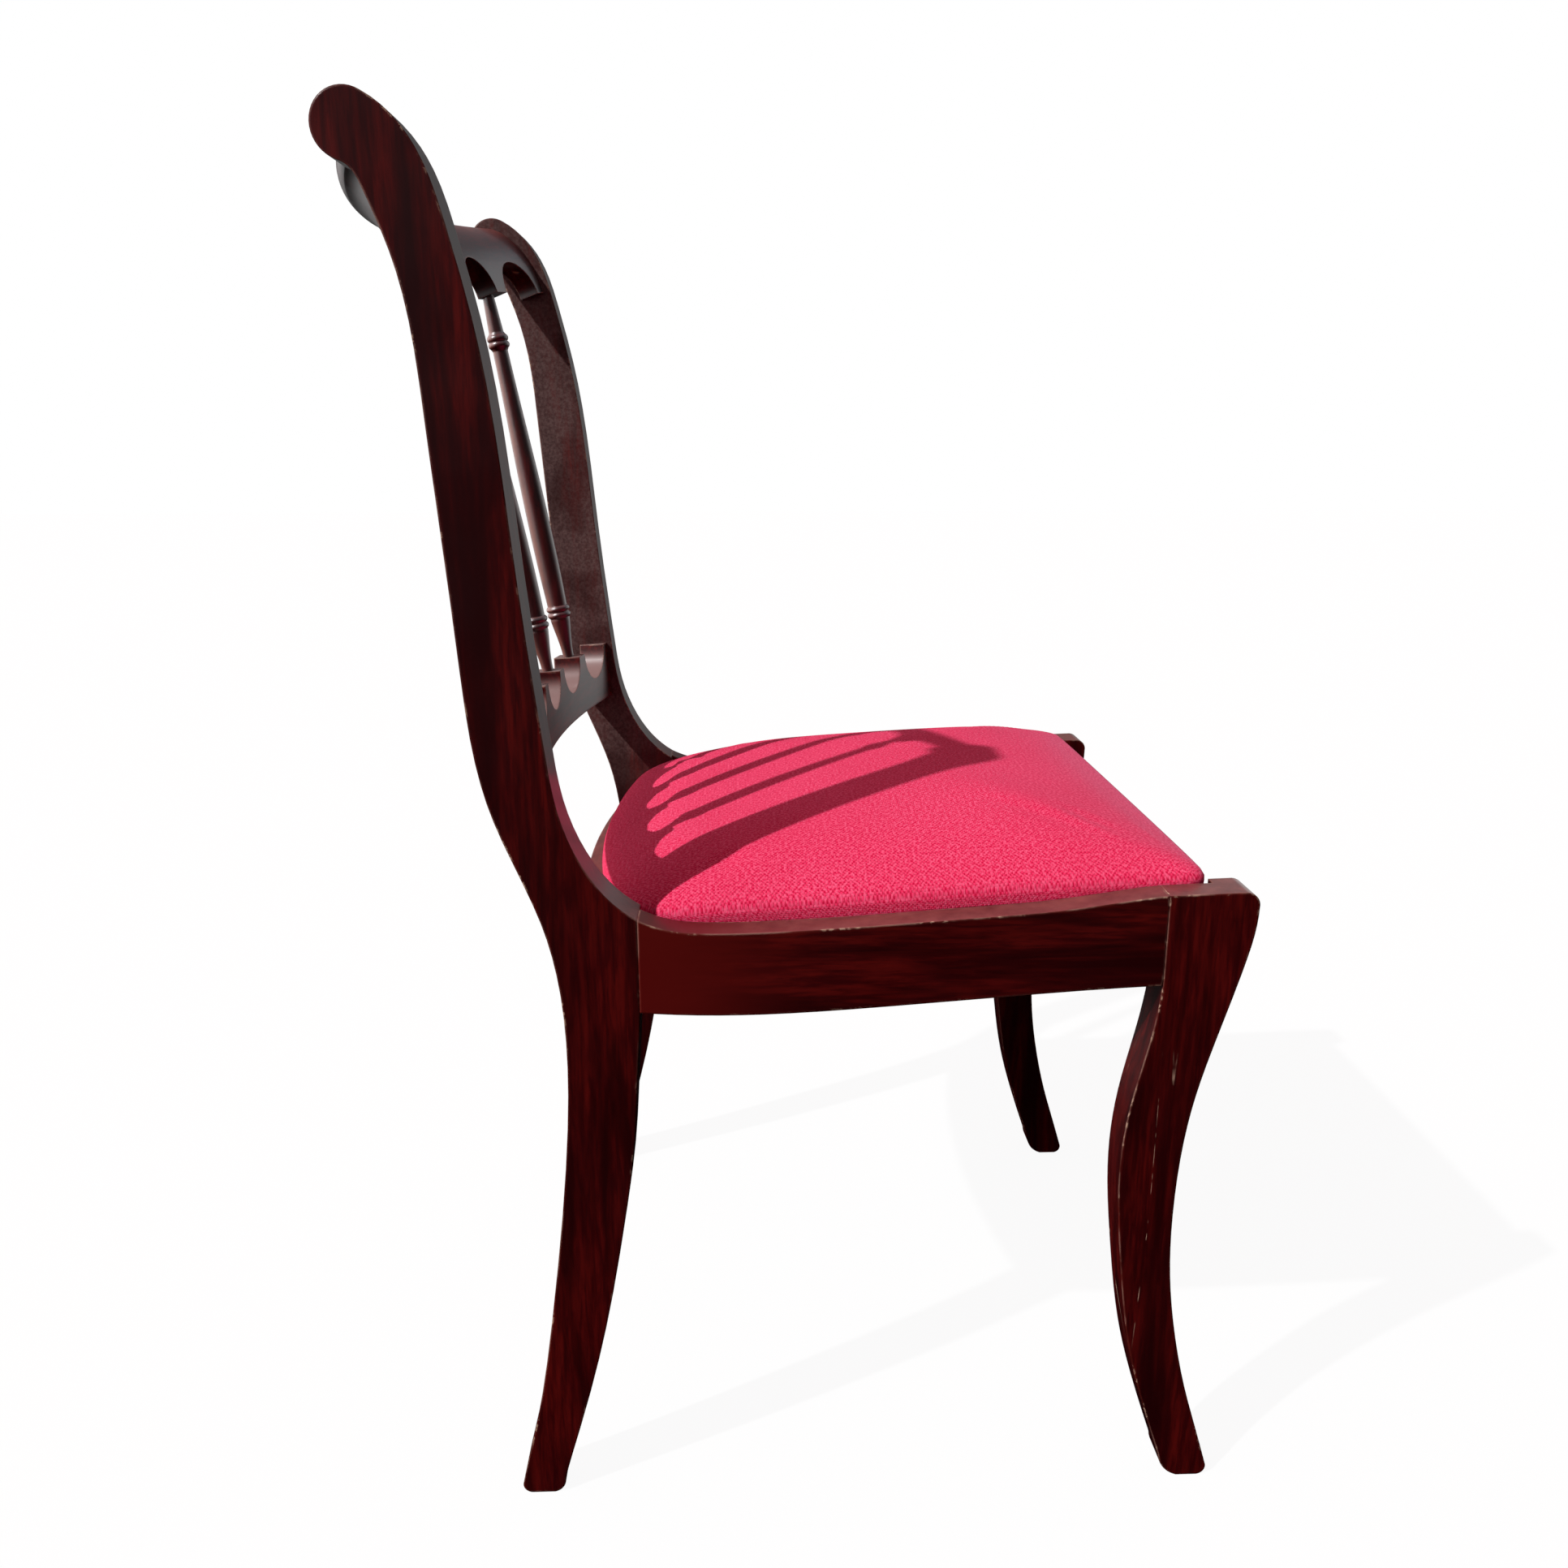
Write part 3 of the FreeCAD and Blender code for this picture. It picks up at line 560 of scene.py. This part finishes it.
def beech(name, stretch):
    """Bare sawn wood with short darker flecks along the grain."""
    material, tree, shader = new_material(name, 0.75)
    place = add(tree, "ShaderNodeTexCoord").outputs["Object"]
    mapping = add(tree, "ShaderNodeMapping")
    tree.links.new(place, mapping.inputs["Vector"])
    mapping.inputs["Scale"].default_value = stretch
    figure = use_group(tree, grain, Stretched=mapping.outputs[0])
    flecked = mix_colour(tree, figure["Streak"], beech_dark, beech_pale)
    tree.links.new(flecked, shader.inputs["Base Color"])
    wear = use_group(tree, edge, Position=place, Chips=0.0)
    bump = add(tree, "ShaderNodeBump")
    bump.inputs["Strength"].default_value = 0.25
    bump.inputs["Distance"].default_value = 0.0005
    tree.links.new(figure["Height"], bump.inputs["Height"])
    tree.links.new(wear["Normal"], bump.inputs["Normal"])
    tree.links.new(bump.outputs[0], shader.inputs["Normal"])
    return material


beech_across = beech("beech_crosswise", (5.0, 60.0, 60.0))
beech_along = beech("beech_lengthwise", (60.0, 5.0, 60.0))
dress(beech_across, "seat_frame_front", "seat_frame_rear", "rail_dowels")
dress(beech_across, "corner_block_front_right", "corner_block_front_left")
dress(beech_across, "corner_block_rear_right", "corner_block_rear_left")
dress(beech_along, "seat_frame_right", "seat_frame_left")

steel, steel_tree, steel_shader = new_material("dull_steel", 0.42, 1.0)
steel_place = add(steel_tree, "ShaderNodeTexCoord").outputs["Object"]
tarnish = ramp_between(steel_tree, noise(steel_tree, steel_place, 300.0, 4.0, 0.7), 0.45, 0.7)
steel_bright = (0.52, 0.51, 0.49, 1.0)
steel_brown = (0.16, 0.11, 0.08, 1.0)
steel_colour = mix_colour(steel_tree, tarnish, steel_bright, steel_brown)
steel_tree.links.new(steel_colour, steel_shader.inputs["Base Color"])
steel_blur = math_node(steel_tree, "MULTIPLY_ADD", tarnish, 0.35, 0.35)
steel_tree.links.new(steel_blur, steel_shader.inputs["Roughness"])
dress(steel, "corner_block_screws", "cover_tacks")

# %% [markdown]
# ## The loose seat's own directions
#
# The rebate that carries the seat falls slightly towards the back. The soft parts
# are worked out flat, as across, back from the front rail and up from the rebate,
# and are then laid on that slope by one function.

# %% Find the rebate and the seat's plan
rail_low, rail_high = (np.array(p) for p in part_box("front_rail"))
cover_high = np.array(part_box("seat_cover")[1])
rebate_slope = math.atan(0.06)
rebate_front = np.array([0.0, rail_low[1], rail_high[2]])
backwards = np.array([0.0, math.cos(rebate_slope), -math.sin(rebate_slope)])
upwards = np.array([0.0, math.sin(rebate_slope), math.cos(rebate_slope)])


def lay_on_rebate(across, back, height):
    """A place from three distances: across X, back along the rebate and square up from it."""
    place = np.multiply.outer(back, backwards) + np.multiply.outer(height, upwards)
    place = place + rebate_front
    place[..., 0] = across
    return place


half_width = float(cover_high[0])
plan_front = 0.0005
plan_rear = 0.396
rear_crown = 0.0105
turn_width = 0.130
side_end = 0.316
front_corner = 0.012
lift = 0.0003


def front_line(across):
    """Straight, with a quarter circle at each front corner."""
    over = np.clip(np.abs(across) - (half_width - front_corner), 0, front_corner)
    return plan_front + front_corner - np.sqrt(front_corner ** 2 - over ** 2)


def rear_line(across):
    """A shallow arc all the way, less a turn into each side of 1 - (1 - out^2.75)^0.44."""
    shallow = plan_rear - rear_crown * (np.abs(across) / turn_width) ** 2
    out = np.clip((np.abs(across) - turn_width) / (half_width - turn_width), 0, 1)
    turn_depth = plan_rear - rear_crown * (half_width / turn_width) ** 2 - side_end
    return shallow - turn_depth * (1 - (1 - out ** 2.75) ** 0.44)


print("seat width and depth:", round(2 * half_width, 4), round(plan_rear - plan_front, 4))

# %% [markdown]
# ## The cushion's shape
#
# A drop-in seat is stuffed proud of its frame. Its edge stands a little above the
# rails and rolls over quickly at the sides, more slowly from front and back, towards
# a crown that lies forward of the middle. Each height line of the top is the seat's
# plan drawn smaller. At the share w of the rise its width is (1 - w^(1/0.7))^(1/3) of
# the whole and its length (1 - w^(1/0.65))^(1/1.6). So the height of a place is found
# by halving: the largest w whose smaller plan still holds the place. Such plans keep
# their square corners and would leave a ridge towards each front corner, so there part
# of the rise comes from a rounder surface, the product of the two profiles themselves.
# Last, the cloth bears out a little where it bends over the edge of the seat's frame.

# %% Work out the cushion
edge_height = 0.0165
crown_height = 0.0540
crown_back = 0.1405
columns = 84
rows = 84
crowding = 0.8
halvings = 30
corner_roundness = 0.4
round_before = 0.10
bear_out = 0.0018
bear_out_by = 0.07


def crowded(count):
    """Numbers from -1 to 1 that lie closer together towards both ends."""
    even = np.linspace(-1, 1, count)
    return np.sin(even * crowding * math.pi / 2) / math.sin(crowding * math.pi / 2)


def seat_grid():
    """Plan places of the top: columns across, and rows from the front line to the rear line."""
    across = crowded(columns)[None, :] * half_width
    share = (crowded(rows)[:, None] + 1) / 2
    back = front_line(across) + (rear_line(across) - front_line(across)) * share
    return np.broadcast_to(across, back.shape).copy(), back


def inside_plan(across, back):
    """True where a place lies within the seat's plan."""
    within = np.abs(across) <= half_width
    safe = np.clip(across, -half_width, half_width)
    return within & (back >= front_line(safe)) & (back <= rear_line(safe))


def plan_scale(share):
    """How much narrower and shorter the plan is at a share of the rise."""
    narrower = (1 - share ** (1 / 0.7)) ** (1 / 3)
    shorter = (1 - share ** (1 / 0.65)) ** (1 / 1.6)
    return np.maximum(narrower, 1e-6), np.maximum(shorter, 1e-6)


def square_share(across, back):
    """Share of the rise by the smaller plans, by halving the range that can hold it."""
    low = np.zeros(across.shape)
    high = np.ones(across.shape)
    for _ in range(halvings):
        middle = (low + high) / 2
        narrower, shorter = plan_scale(middle)
        holds = inside_plan(across / narrower, crown_back + (back - crown_back) / shorter)
        low = np.where(holds, middle, low)
        high = np.where(holds, high, middle)
    return low


def round_share(across, back):
    """Share of the rise as the side profile times the front-to-back profile."""
    safe = np.clip(across, -half_width, half_width)
    ahead = (crown_back - back) / (crown_back - front_line(safe))
    behind = (back - crown_back) / (rear_line(safe) - crown_back)
    s = np.clip(np.abs(across) / half_width, 0, 1)
    t = np.clip(np.where(back < crown_back, ahead, behind), 0, 1)
    return (1 - s ** 3) ** 0.7 * (1 - t ** 1.6) ** 0.65


def crown_share(across, back):
    """Share of the rise at a place, part from each of the two surfaces."""
    square = square_share(across, back)
    ahead = np.clip((crown_back - back) / round_before, 0, 1)
    amount = corner_roundness * ahead * ahead * (3 - 2 * ahead)
    return square + amount * (round_share(across, back) - square)


def border(grid):
    """The grid's outer places in one closed loop, front left to right and round."""
    return np.concatenate([grid[0, :], grid[1:, -1], grid[-1, -2::-1], grid[-2:0:-1, 0]])


def grid_faces(height, width):
    """Quads between neighbouring rows and columns of a grid of vertices."""
    number = np.arange(height * width).reshape(height, width)
    corners = (number[:-1, :-1], number[:-1, 1:], number[1:, 1:], number[1:, :-1])
    return np.stack([c.ravel() for c in corners], axis=1)


def band_faces(outer, inner):
    """Quads between two closed loops of vertex numbers."""
    return np.stack([outer, inner, np.roll(inner, -1), np.roll(outer, -1)], axis=1)


across, back = seat_grid()
share = crown_share(across, back)
height = edge_height + (crown_height - edge_height) * share
height = height + bear_out * np.clip(share / bear_out_by, 0, 1) * (1 - share)
print("cushion grid:", across.shape, "crown above the rebate:", round(float(height.max()), 4))

# %% [markdown]
# ## The cover
#
# One piece of cloth goes over the top, down the side, round the lower edge and under
# the frame, where it is tacked. So the grid gets rings: first down the side, then
# inwards as the hem. A map of where each place lay on the flat cloth is kept, so that
# the weave runs on over the edge.

# %% Build the cover
hem_width = 0.034
side_drops = [0.0025, 0.006, 0.010, 0.0135, 0.0155]
side_pull = [0.0000, 0.0004, 0.0006, 0.0005, 0.0008]
hem_steps = [0.003, 0.010, 0.018, 0.026, hem_width]
middle_back = (plan_front + plan_rear) / 2
half_depth = (plan_rear - plan_front) / 2


def ring(pull, level):
    """The border drawn inwards by a distance, at one height above the rebate."""
    x = border(across) * (half_width - pull) / half_width
    y = middle_back + (border(back) - middle_back) * (half_depth - pull) / half_depth
    return x, y, np.full(x.shape, level)


rings = [ring(p, edge_height - d) for p, d in zip(side_pull, side_drops)]
rings = rings + [ring(step, lift) for step in hem_steps]
ring_x = np.concatenate([across.ravel()] + [r[0] for r in rings])
ring_y = np.concatenate([back.ravel()] + [r[1] for r in rings])
ring_z = np.concatenate([height.ravel()] + [r[2] for r in rings])
cover_places = lay_on_rebate(ring_x, ring_y, ring_z)

loop_numbers = border(np.arange(rows * columns).reshape(rows, columns))
faces = [grid_faces(rows, columns)]
last_loop = loop_numbers
for i in range(len(rings)):
    next_loop = rows * columns + i * len(loop_numbers) + np.arange(len(loop_numbers))
    faces.append(band_faces(last_loop, next_loop))
    last_loop = next_loop
cover_faces = np.concatenate(faces)

side_length = np.array(side_drops + [edge_height + s for s in hem_steps])
spread = np.concatenate([np.zeros(rows * columns), np.repeat(side_length, len(loop_numbers))])
plan_x = np.concatenate([across.ravel()] + [border(across)] * len(rings))
plan_y = np.concatenate([back.ravel()] + [border(back)] * len(rings))
flat_x = plan_x * (1 + spread / half_width)
flat_y = plan_y + (plan_y - middle_back) * spread / half_depth


def new_piece(name, places, quads, flat=None):
    """A mesh object from arrays, smooth shaded, with its flat places as a UV map."""
    mesh = bpy.data.meshes.new(name)
    mesh.from_pydata(places.tolist(), [], quads.tolist())
    mesh.polygons.foreach_set("use_smooth", np.ones(len(quads), bool))
    if flat is not None:
        corners = np.empty(len(mesh.loops), int)
        mesh.loops.foreach_get("vertex_index", corners)
        layer = mesh.uv_layers.new(name="cloth")
        layer.data.foreach_set("uv", flat[corners].ravel())
    piece = bpy.data.objects.new(name, mesh)
    bpy.context.scene.collection.objects.link(piece)
    return piece


cover = new_piece("seat_cushion", cover_places, cover_faces, np.stack([flat_x, flat_y], axis=1))
print("cover:", len(cover_places), "places,", len(cover_faces), "faces")

# %% [markdown]
# ## Stretching the cloth
#
# Taut cloth over stuffing is never quite the shape of a formula. The cover is blown
# up gently from inside as cloth, held fast at its edge, side and hem. Only the top
# moves. It rests on firm stuffing, so no place sinks, and none swells past a set limit.

# %% Blow up the cover
swell_limit = 0.0035
swell_frames = 20


def vertex_array(mesh):
    """The mesh's places as an array."""
    places = np.empty(len(mesh.vertices) * 3)
    mesh.vertices.foreach_get("co", places)
    return places.reshape(-1, 3)


def blow_up(piece, held):
    """Cloth with pressure inside and no weight. Of its movement only the part along each
    place's outward normal is kept, from nothing up to the limit."""
    group = piece.vertex_groups.new(name="held")
    group.add([int(i) for i in held], 1.0, "REPLACE")
    cloth = piece.modifiers.new("cloth", "CLOTH")
    settings = cloth.settings
    settings.quality = 6
    settings.mass = 0.3
    settings.tension_stiffness = 20
    settings.compression_stiffness = 20
    settings.shear_stiffness = 8
    settings.bending_stiffness = 0.6
    settings.use_pressure = True
    settings.uniform_pressure_force = 4.0
    settings.vertex_group_mass = "held"
    settings.effector_weights.gravity = 0.0
    cloth.point_cache.frame_start = 1
    cloth.point_cache.frame_end = swell_frames
    start = vertex_array(piece.data)
    for number in range(1, swell_frames + 1):
        bpy.context.scene.frame_set(number)
    blown = piece.evaluated_get(bpy.context.evaluated_depsgraph_get())
    outward = np.empty(len(start) * 3)
    piece.data.vertex_normals.foreach_get("vector", outward)
    outward = outward.reshape(-1, 3)
    length = np.sum((vertex_array(blown.data) - start) * outward, axis=1, keepdims=True)
    moved = outward * np.clip(length, 0.0, swell_limit)
    piece.modifiers.remove(cloth)
    piece.vertex_groups.clear()
    piece.data.vertices.foreach_set("co", (start + moved).ravel())
    piece.data.update()
    bpy.context.scene.frame_set(1)
    return float(length.max())


held = np.concatenate([loop_numbers, np.arange(rows * columns, len(cover_places))])
print("cloth swelled by", round(blow_up(cover, held), 4))

thickness = cover.modifiers.new("thickness", "SOLIDIFY")
thickness.thickness = 0.0010
thickness.offset = -1.0

# %% [markdown]
# ## Raspberry cloth
#
# The cover is a close plain weave in two nearly equal pinks. Warp goes over where
# the product of two sine waves is positive and weft where it is negative, and the
# thread's roundness is the size of that product. Threads differ a little in shade,
# which gives the fine speckle.

# %% Make the cloth
thread_pitch = 0.0013
speckle_share = 0.65
cloud_share = 0.22
warp_pink = (0.76, 0.034, 0.115, 1.0)
weft_pink = (0.50, 0.007, 0.043, 1.0)
pale_pink = (0.90, 0.145, 0.270, 1.0)

weave, weave_in, weave_out = new_group(
    "weave",
    [("Flat", "NodeSocketVector", None), ("Pitch", "NodeSocketFloat", 0.001)],
    [("Over", "NodeSocketFloat"), ("Height", "NodeSocketFloat"), ("Slub", "NodeSocketFloat")],
)
weave_split = add(weave, "ShaderNodeSeparateXYZ")
weave.links.new(weave_in.outputs["Flat"], weave_split.inputs[0])
turns = math_node(weave, "DIVIDE", math.pi, weave_in.outputs["Pitch"])
warp_wave = math_node(weave, "SINE", math_node(weave, "MULTIPLY", weave_split.outputs["X"], turns))
weft_wave = math_node(weave, "SINE", math_node(weave, "MULTIPLY", weave_split.outputs["Y"], turns))
crossing = math_node(weave, "MULTIPLY", warp_wave, weft_wave)
roundness = math_node(weave, "SQRT", math_node(weave, "ABSOLUTE", crossing))
slub = noise(weave, weave_in.outputs["Flat"], 520.0, 2.0, 0.6)
weave.links.new(ramp_between(weave, crossing, -0.2, 0.2), weave_out.inputs["Over"])
weave.links.new(roundness, weave_out.inputs["Height"])
weave.links.new(ramp_between(weave, slub, 0.4, 0.68), weave_out.inputs["Slub"])

cloth_paint, cloth_tree, cloth_shader = new_material("raspberry_cloth", 0.85)
cloth_map = add(cloth_tree, "ShaderNodeUVMap", uv_map="cloth").outputs[0]
threads = use_group(cloth_tree, weave, Flat=cloth_map, Pitch=thread_pitch)
two_pinks = mix_colour(cloth_tree, threads["Over"], weft_pink, warp_pink)
speckle = math_node(cloth_tree, "MULTIPLY", threads["Slub"], speckle_share)
speckled = mix_colour(cloth_tree, speckle, two_pinks, pale_pink)
clouds = ramp_between(cloth_tree, noise(cloth_tree, cloth_map, 9.0, 3.0, 0.55), 0.3, 0.75)
clouding = math_node(cloth_tree, "MULTIPLY", clouds, cloud_share)
shaded = mix_colour(cloth_tree, clouding, speckled, weft_pink)
cloth_tree.links.new(shaded, cloth_shader.inputs["Base Color"])
cloth_bump = add(cloth_tree, "ShaderNodeBump")
cloth_bump.inputs["Strength"].default_value = 0.45
cloth_bump.inputs["Distance"].default_value = 0.0005
cloth_tree.links.new(threads["Height"], cloth_bump.inputs["Height"])
cloth_tree.links.new(cloth_bump.outputs[0], cloth_shader.inputs["Normal"])
cloth_shader.inputs["Sheen Weight"].default_value = 0.22
cloth_shader.inputs["Sheen Roughness"].default_value = 0.35
cloth_shader.inputs["Sheen Tint"].default_value = (1.0, 0.40, 0.62, 1.0)
cloth_shader.inputs["Specular IOR Level"].default_value = 0.03
cover.data.materials.append(cloth_paint)
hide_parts("seat_cover")
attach(cover, "slip_seat")

# %% [markdown]
# ## Webbing
#
# Under the stuffing, three straps run from front to back and three from side to side,
# woven over and under one another. A cosine that changes sign from one crossing to
# the next lifts each strap or lowers it, and the other set does the opposite.

# %% Weave the straps
strap_width = 0.050
strap_thickness = 0.0011
strap_pitch_across = 0.105
strap_pitch_back = 0.095
frame_top = 0.0195
strap_middle = frame_top + 0.0012
strap_swing = 0.0006
front_inner = 0.0485
rear_inner = 0.342
opening_middle = (front_inner + rear_inner) / 2
strap_points = 61
strap_ends_back = (0.026, 0.368)
strap_end_across = 0.178
strap_settle = 0.03


def strap(start, end, centre, phase, pitch, origin, sign):
    """Sections along a strap: its width, then four corners whose height follows the cosine."""
    run = np.linspace(start, end, strap_points)
    settle = np.clip(np.minimum(run - start, end - run) / strap_settle, 0, 1)
    settle = settle * settle * (3 - 2 * settle)
    lifted = strap_middle + sign * strap_swing * np.cos(math.pi * (run - origin) / pitch + phase)
    resting = frame_top + strap_thickness / 2
    level = resting + (lifted - resting) * settle
    sides = np.array([-1, 1, 1, -1]) * strap_width / 2 + centre
    levels = np.array([-1, -1, 1, 1]) * strap_thickness / 2
    return run, sides, level[:, None] + levels[None, :]


def strap_quads(first):
    """Four long faces and the two ends of one strap, numbered from its first vertex."""
    number = np.arange(strap_points * 4).reshape(strap_points, 4) + first
    around = np.roll(number, -1, axis=1)
    corners = (number[:-1], around[:-1], around[1:], number[1:])
    long_faces = np.stack(corners, axis=-1).reshape(-1, 4)
    ends = np.array([number[0, ::-1], number[-1]])
    return np.concatenate([long_faces, ends])


strap_places = []
strap_faces = []
strap_flat = []
for i in (-1, 0, 1):
    centre = i * strap_pitch_across
    phase = i * math.pi
    run, sides, level = strap(*strap_ends_back, centre, phase, strap_pitch_back, opening_middle, 1)
    sideways, onwards = np.broadcast_to(sides, level.shape), np.repeat(run[:, None], 4, 1)
    strap_faces.append(strap_quads(len(strap_places) * strap_points * 4)[:, ::-1])
    strap_places.append(lay_on_rebate(sideways, onwards, level).reshape(-1, 3))
    strap_flat.append(np.stack([sideways, onwards], -1).reshape(-1, 2))
    centre = opening_middle + i * strap_pitch_back
    ends = (-strap_end_across, strap_end_across)
    run, sides, level = strap(*ends, centre, phase, strap_pitch_across, 0.0, -1)
    sideways, onwards = np.broadcast_to(sides, level.shape), np.repeat(run[:, None], 4, 1)
    strap_faces.append(strap_quads(len(strap_places) * strap_points * 4))
    strap_places.append(lay_on_rebate(onwards, sideways, level).reshape(-1, 3))
    strap_flat.append(np.stack([onwards, sideways], -1).reshape(-1, 2))

strap_arrays = (np.concatenate(part) for part in (strap_places, strap_faces, strap_flat))
webbing = new_piece("seat_straps", *strap_arrays)
webbing.data.polygons.foreach_set("use_smooth", np.zeros(len(webbing.data.polygons), bool))
jute_paint, jute_tree, jute_shader = new_material("jute", 0.9)
jute_map = add(jute_tree, "ShaderNodeUVMap", uv_map="cloth").outputs[0]
jute_threads = use_group(jute_tree, weave, Flat=jute_map, Pitch=0.0021)
jute_brown = (0.30, 0.20, 0.10, 1.0)
jute_pale = (0.47, 0.34, 0.19, 1.0)
jute_dark = (0.22, 0.14, 0.07, 1.0)
jute_colour = mix_colour(jute_tree, jute_threads["Over"], jute_brown, jute_pale)
jute_colour = mix_colour(jute_tree, jute_threads["Slub"], jute_colour, jute_dark)
jute_tree.links.new(jute_colour, jute_shader.inputs["Base Color"])
jute_bump = add(jute_tree, "ShaderNodeBump")
jute_bump.inputs["Strength"].default_value = 0.6
jute_bump.inputs["Distance"].default_value = 0.0007
jute_tree.links.new(jute_threads["Height"], jute_bump.inputs["Height"])
jute_tree.links.new(jute_bump.outputs[0], jute_shader.inputs["Normal"])
webbing.data.materials.append(jute_paint)
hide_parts("seat_webbing")
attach(webbing, "slip_seat")
print("straps:", len(webbing.data.vertices), "places")

# %% [markdown]
# ## Stuffing
#
# Seen from below, felted stuffing presses down between the straps. Its top follows
# the cushion just under the cloth. Its underside is a flat sheet that sinks by a
# small product of cosines wherever no strap holds it up.

# %% Build the stuffing
under_cloth = 0.0022
felt_level = 0.0221
felt_sink = 0.0016
felt_rim = 0.0030
search_limit = 0.4
dent_half_width = 0.150
dent_fade = 0.02

rim_share = (felt_level + felt_rim + under_cloth - edge_height) / (crown_height - edge_height)
reach = np.hypot(across, back - crown_back)
way_x = np.where(reach > 1e-9, across / np.maximum(reach, 1e-9), 1.0)
way_y = np.where(reach > 1e-9, (back - crown_back) / np.maximum(reach, 1e-9), 0.0)


def farthest(accepts):
    """How far from the crown each direction goes before a test fails, by halving."""
    low = np.zeros(reach.shape)
    high = np.full(reach.shape, search_limit)
    for _ in range(halvings):
        middle = (low + high) / 2
        good = accepts(way_x * middle, crown_back + way_y * middle)
        low = np.where(good, middle, low)
        high = np.where(good, high, middle)
    return low


to_border = farthest(inside_plan)
to_rim = farthest(lambda x, y: inside_plan(x, y) & (crown_share(x, y) >= rim_share))
shrink = to_rim / to_border
top_x = across * shrink
top_y = crown_back + (back - crown_back) * shrink
top_share = np.maximum(crown_share(top_x, top_y), rim_share)
top_z = edge_height + (crown_height - edge_height) * top_share - under_cloth
gap_x = 1 - np.cos(2 * math.pi * top_x / strap_pitch_across)
gap_y = 1 - np.cos(2 * math.pi * (top_y - opening_middle) / strap_pitch_back)
inside = np.clip((dent_half_width - np.abs(top_x)) / dent_fade, 0, 1)
inside = inside * np.clip((top_y - front_inner) / dent_fade, 0, 1)
inside = inside * np.clip((rear_inner - top_y) / dent_fade, 0, 1)
bottom_z = felt_level - felt_sink * gap_x * gap_y / 4 * inside
felt_top = lay_on_rebate(top_x.ravel(), top_y.ravel(), top_z.ravel())
felt_bottom = lay_on_rebate(top_x.ravel(), top_y.ravel(), bottom_z.ravel())
felt_faces = [grid_faces(rows, columns), grid_faces(rows, columns)[:, ::-1] + rows * columns]
felt_faces.append(band_faces(loop_numbers, loop_numbers + rows * columns))
felt_flat = np.tile(np.stack([top_x.ravel(), top_y.ravel()], axis=1), (2, 1))
felt_places = np.concatenate([felt_top, felt_bottom])
stuffing = new_piece("seat_stuffing", felt_places, np.concatenate(felt_faces), felt_flat)
felt_paint, felt_tree, felt_shader = new_material("felted_stuffing", 0.95)
felt_place = add(felt_tree, "ShaderNodeTexCoord").outputs["Object"]
tufts = noise(felt_tree, felt_place, 160.0, 6.0, 0.7, 1.5)
felt_dark = (0.42, 0.38, 0.31, 1.0)
felt_pale = (0.74, 0.70, 0.62, 1.0)
felt_colour = mix_colour(felt_tree, ramp_between(felt_tree, tufts, 0.3, 0.7), felt_dark, felt_pale)
felt_tree.links.new(felt_colour, felt_shader.inputs["Base Color"])
felt_bump = add(felt_tree, "ShaderNodeBump")
felt_bump.inputs["Strength"].default_value = 0.6
felt_bump.inputs["Distance"].default_value = 0.001
felt_tree.links.new(tufts, felt_bump.inputs["Height"])
felt_tree.links.new(felt_bump.outputs[0], felt_shader.inputs["Normal"])
stuffing.data.materials.append(felt_paint)
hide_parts("seat_padding")
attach(stuffing, "slip_seat")

# %% [markdown]
# ## The size of the dressed chair
#
# Both boxes, the drawing's and the dressed chair's, are printed. The dressed chair has
# to stay as large as the drawing.

# %% Print the boxes and finish
seen_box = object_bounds()
boxes = {"cad": cad_box, "visual": seen_box}
boxes = {name: [list(map(float, corner)) for corner in box] for name, box in boxes.items()}
print("drawing:", boxes["cad"], "dressed:", boxes["visual"])
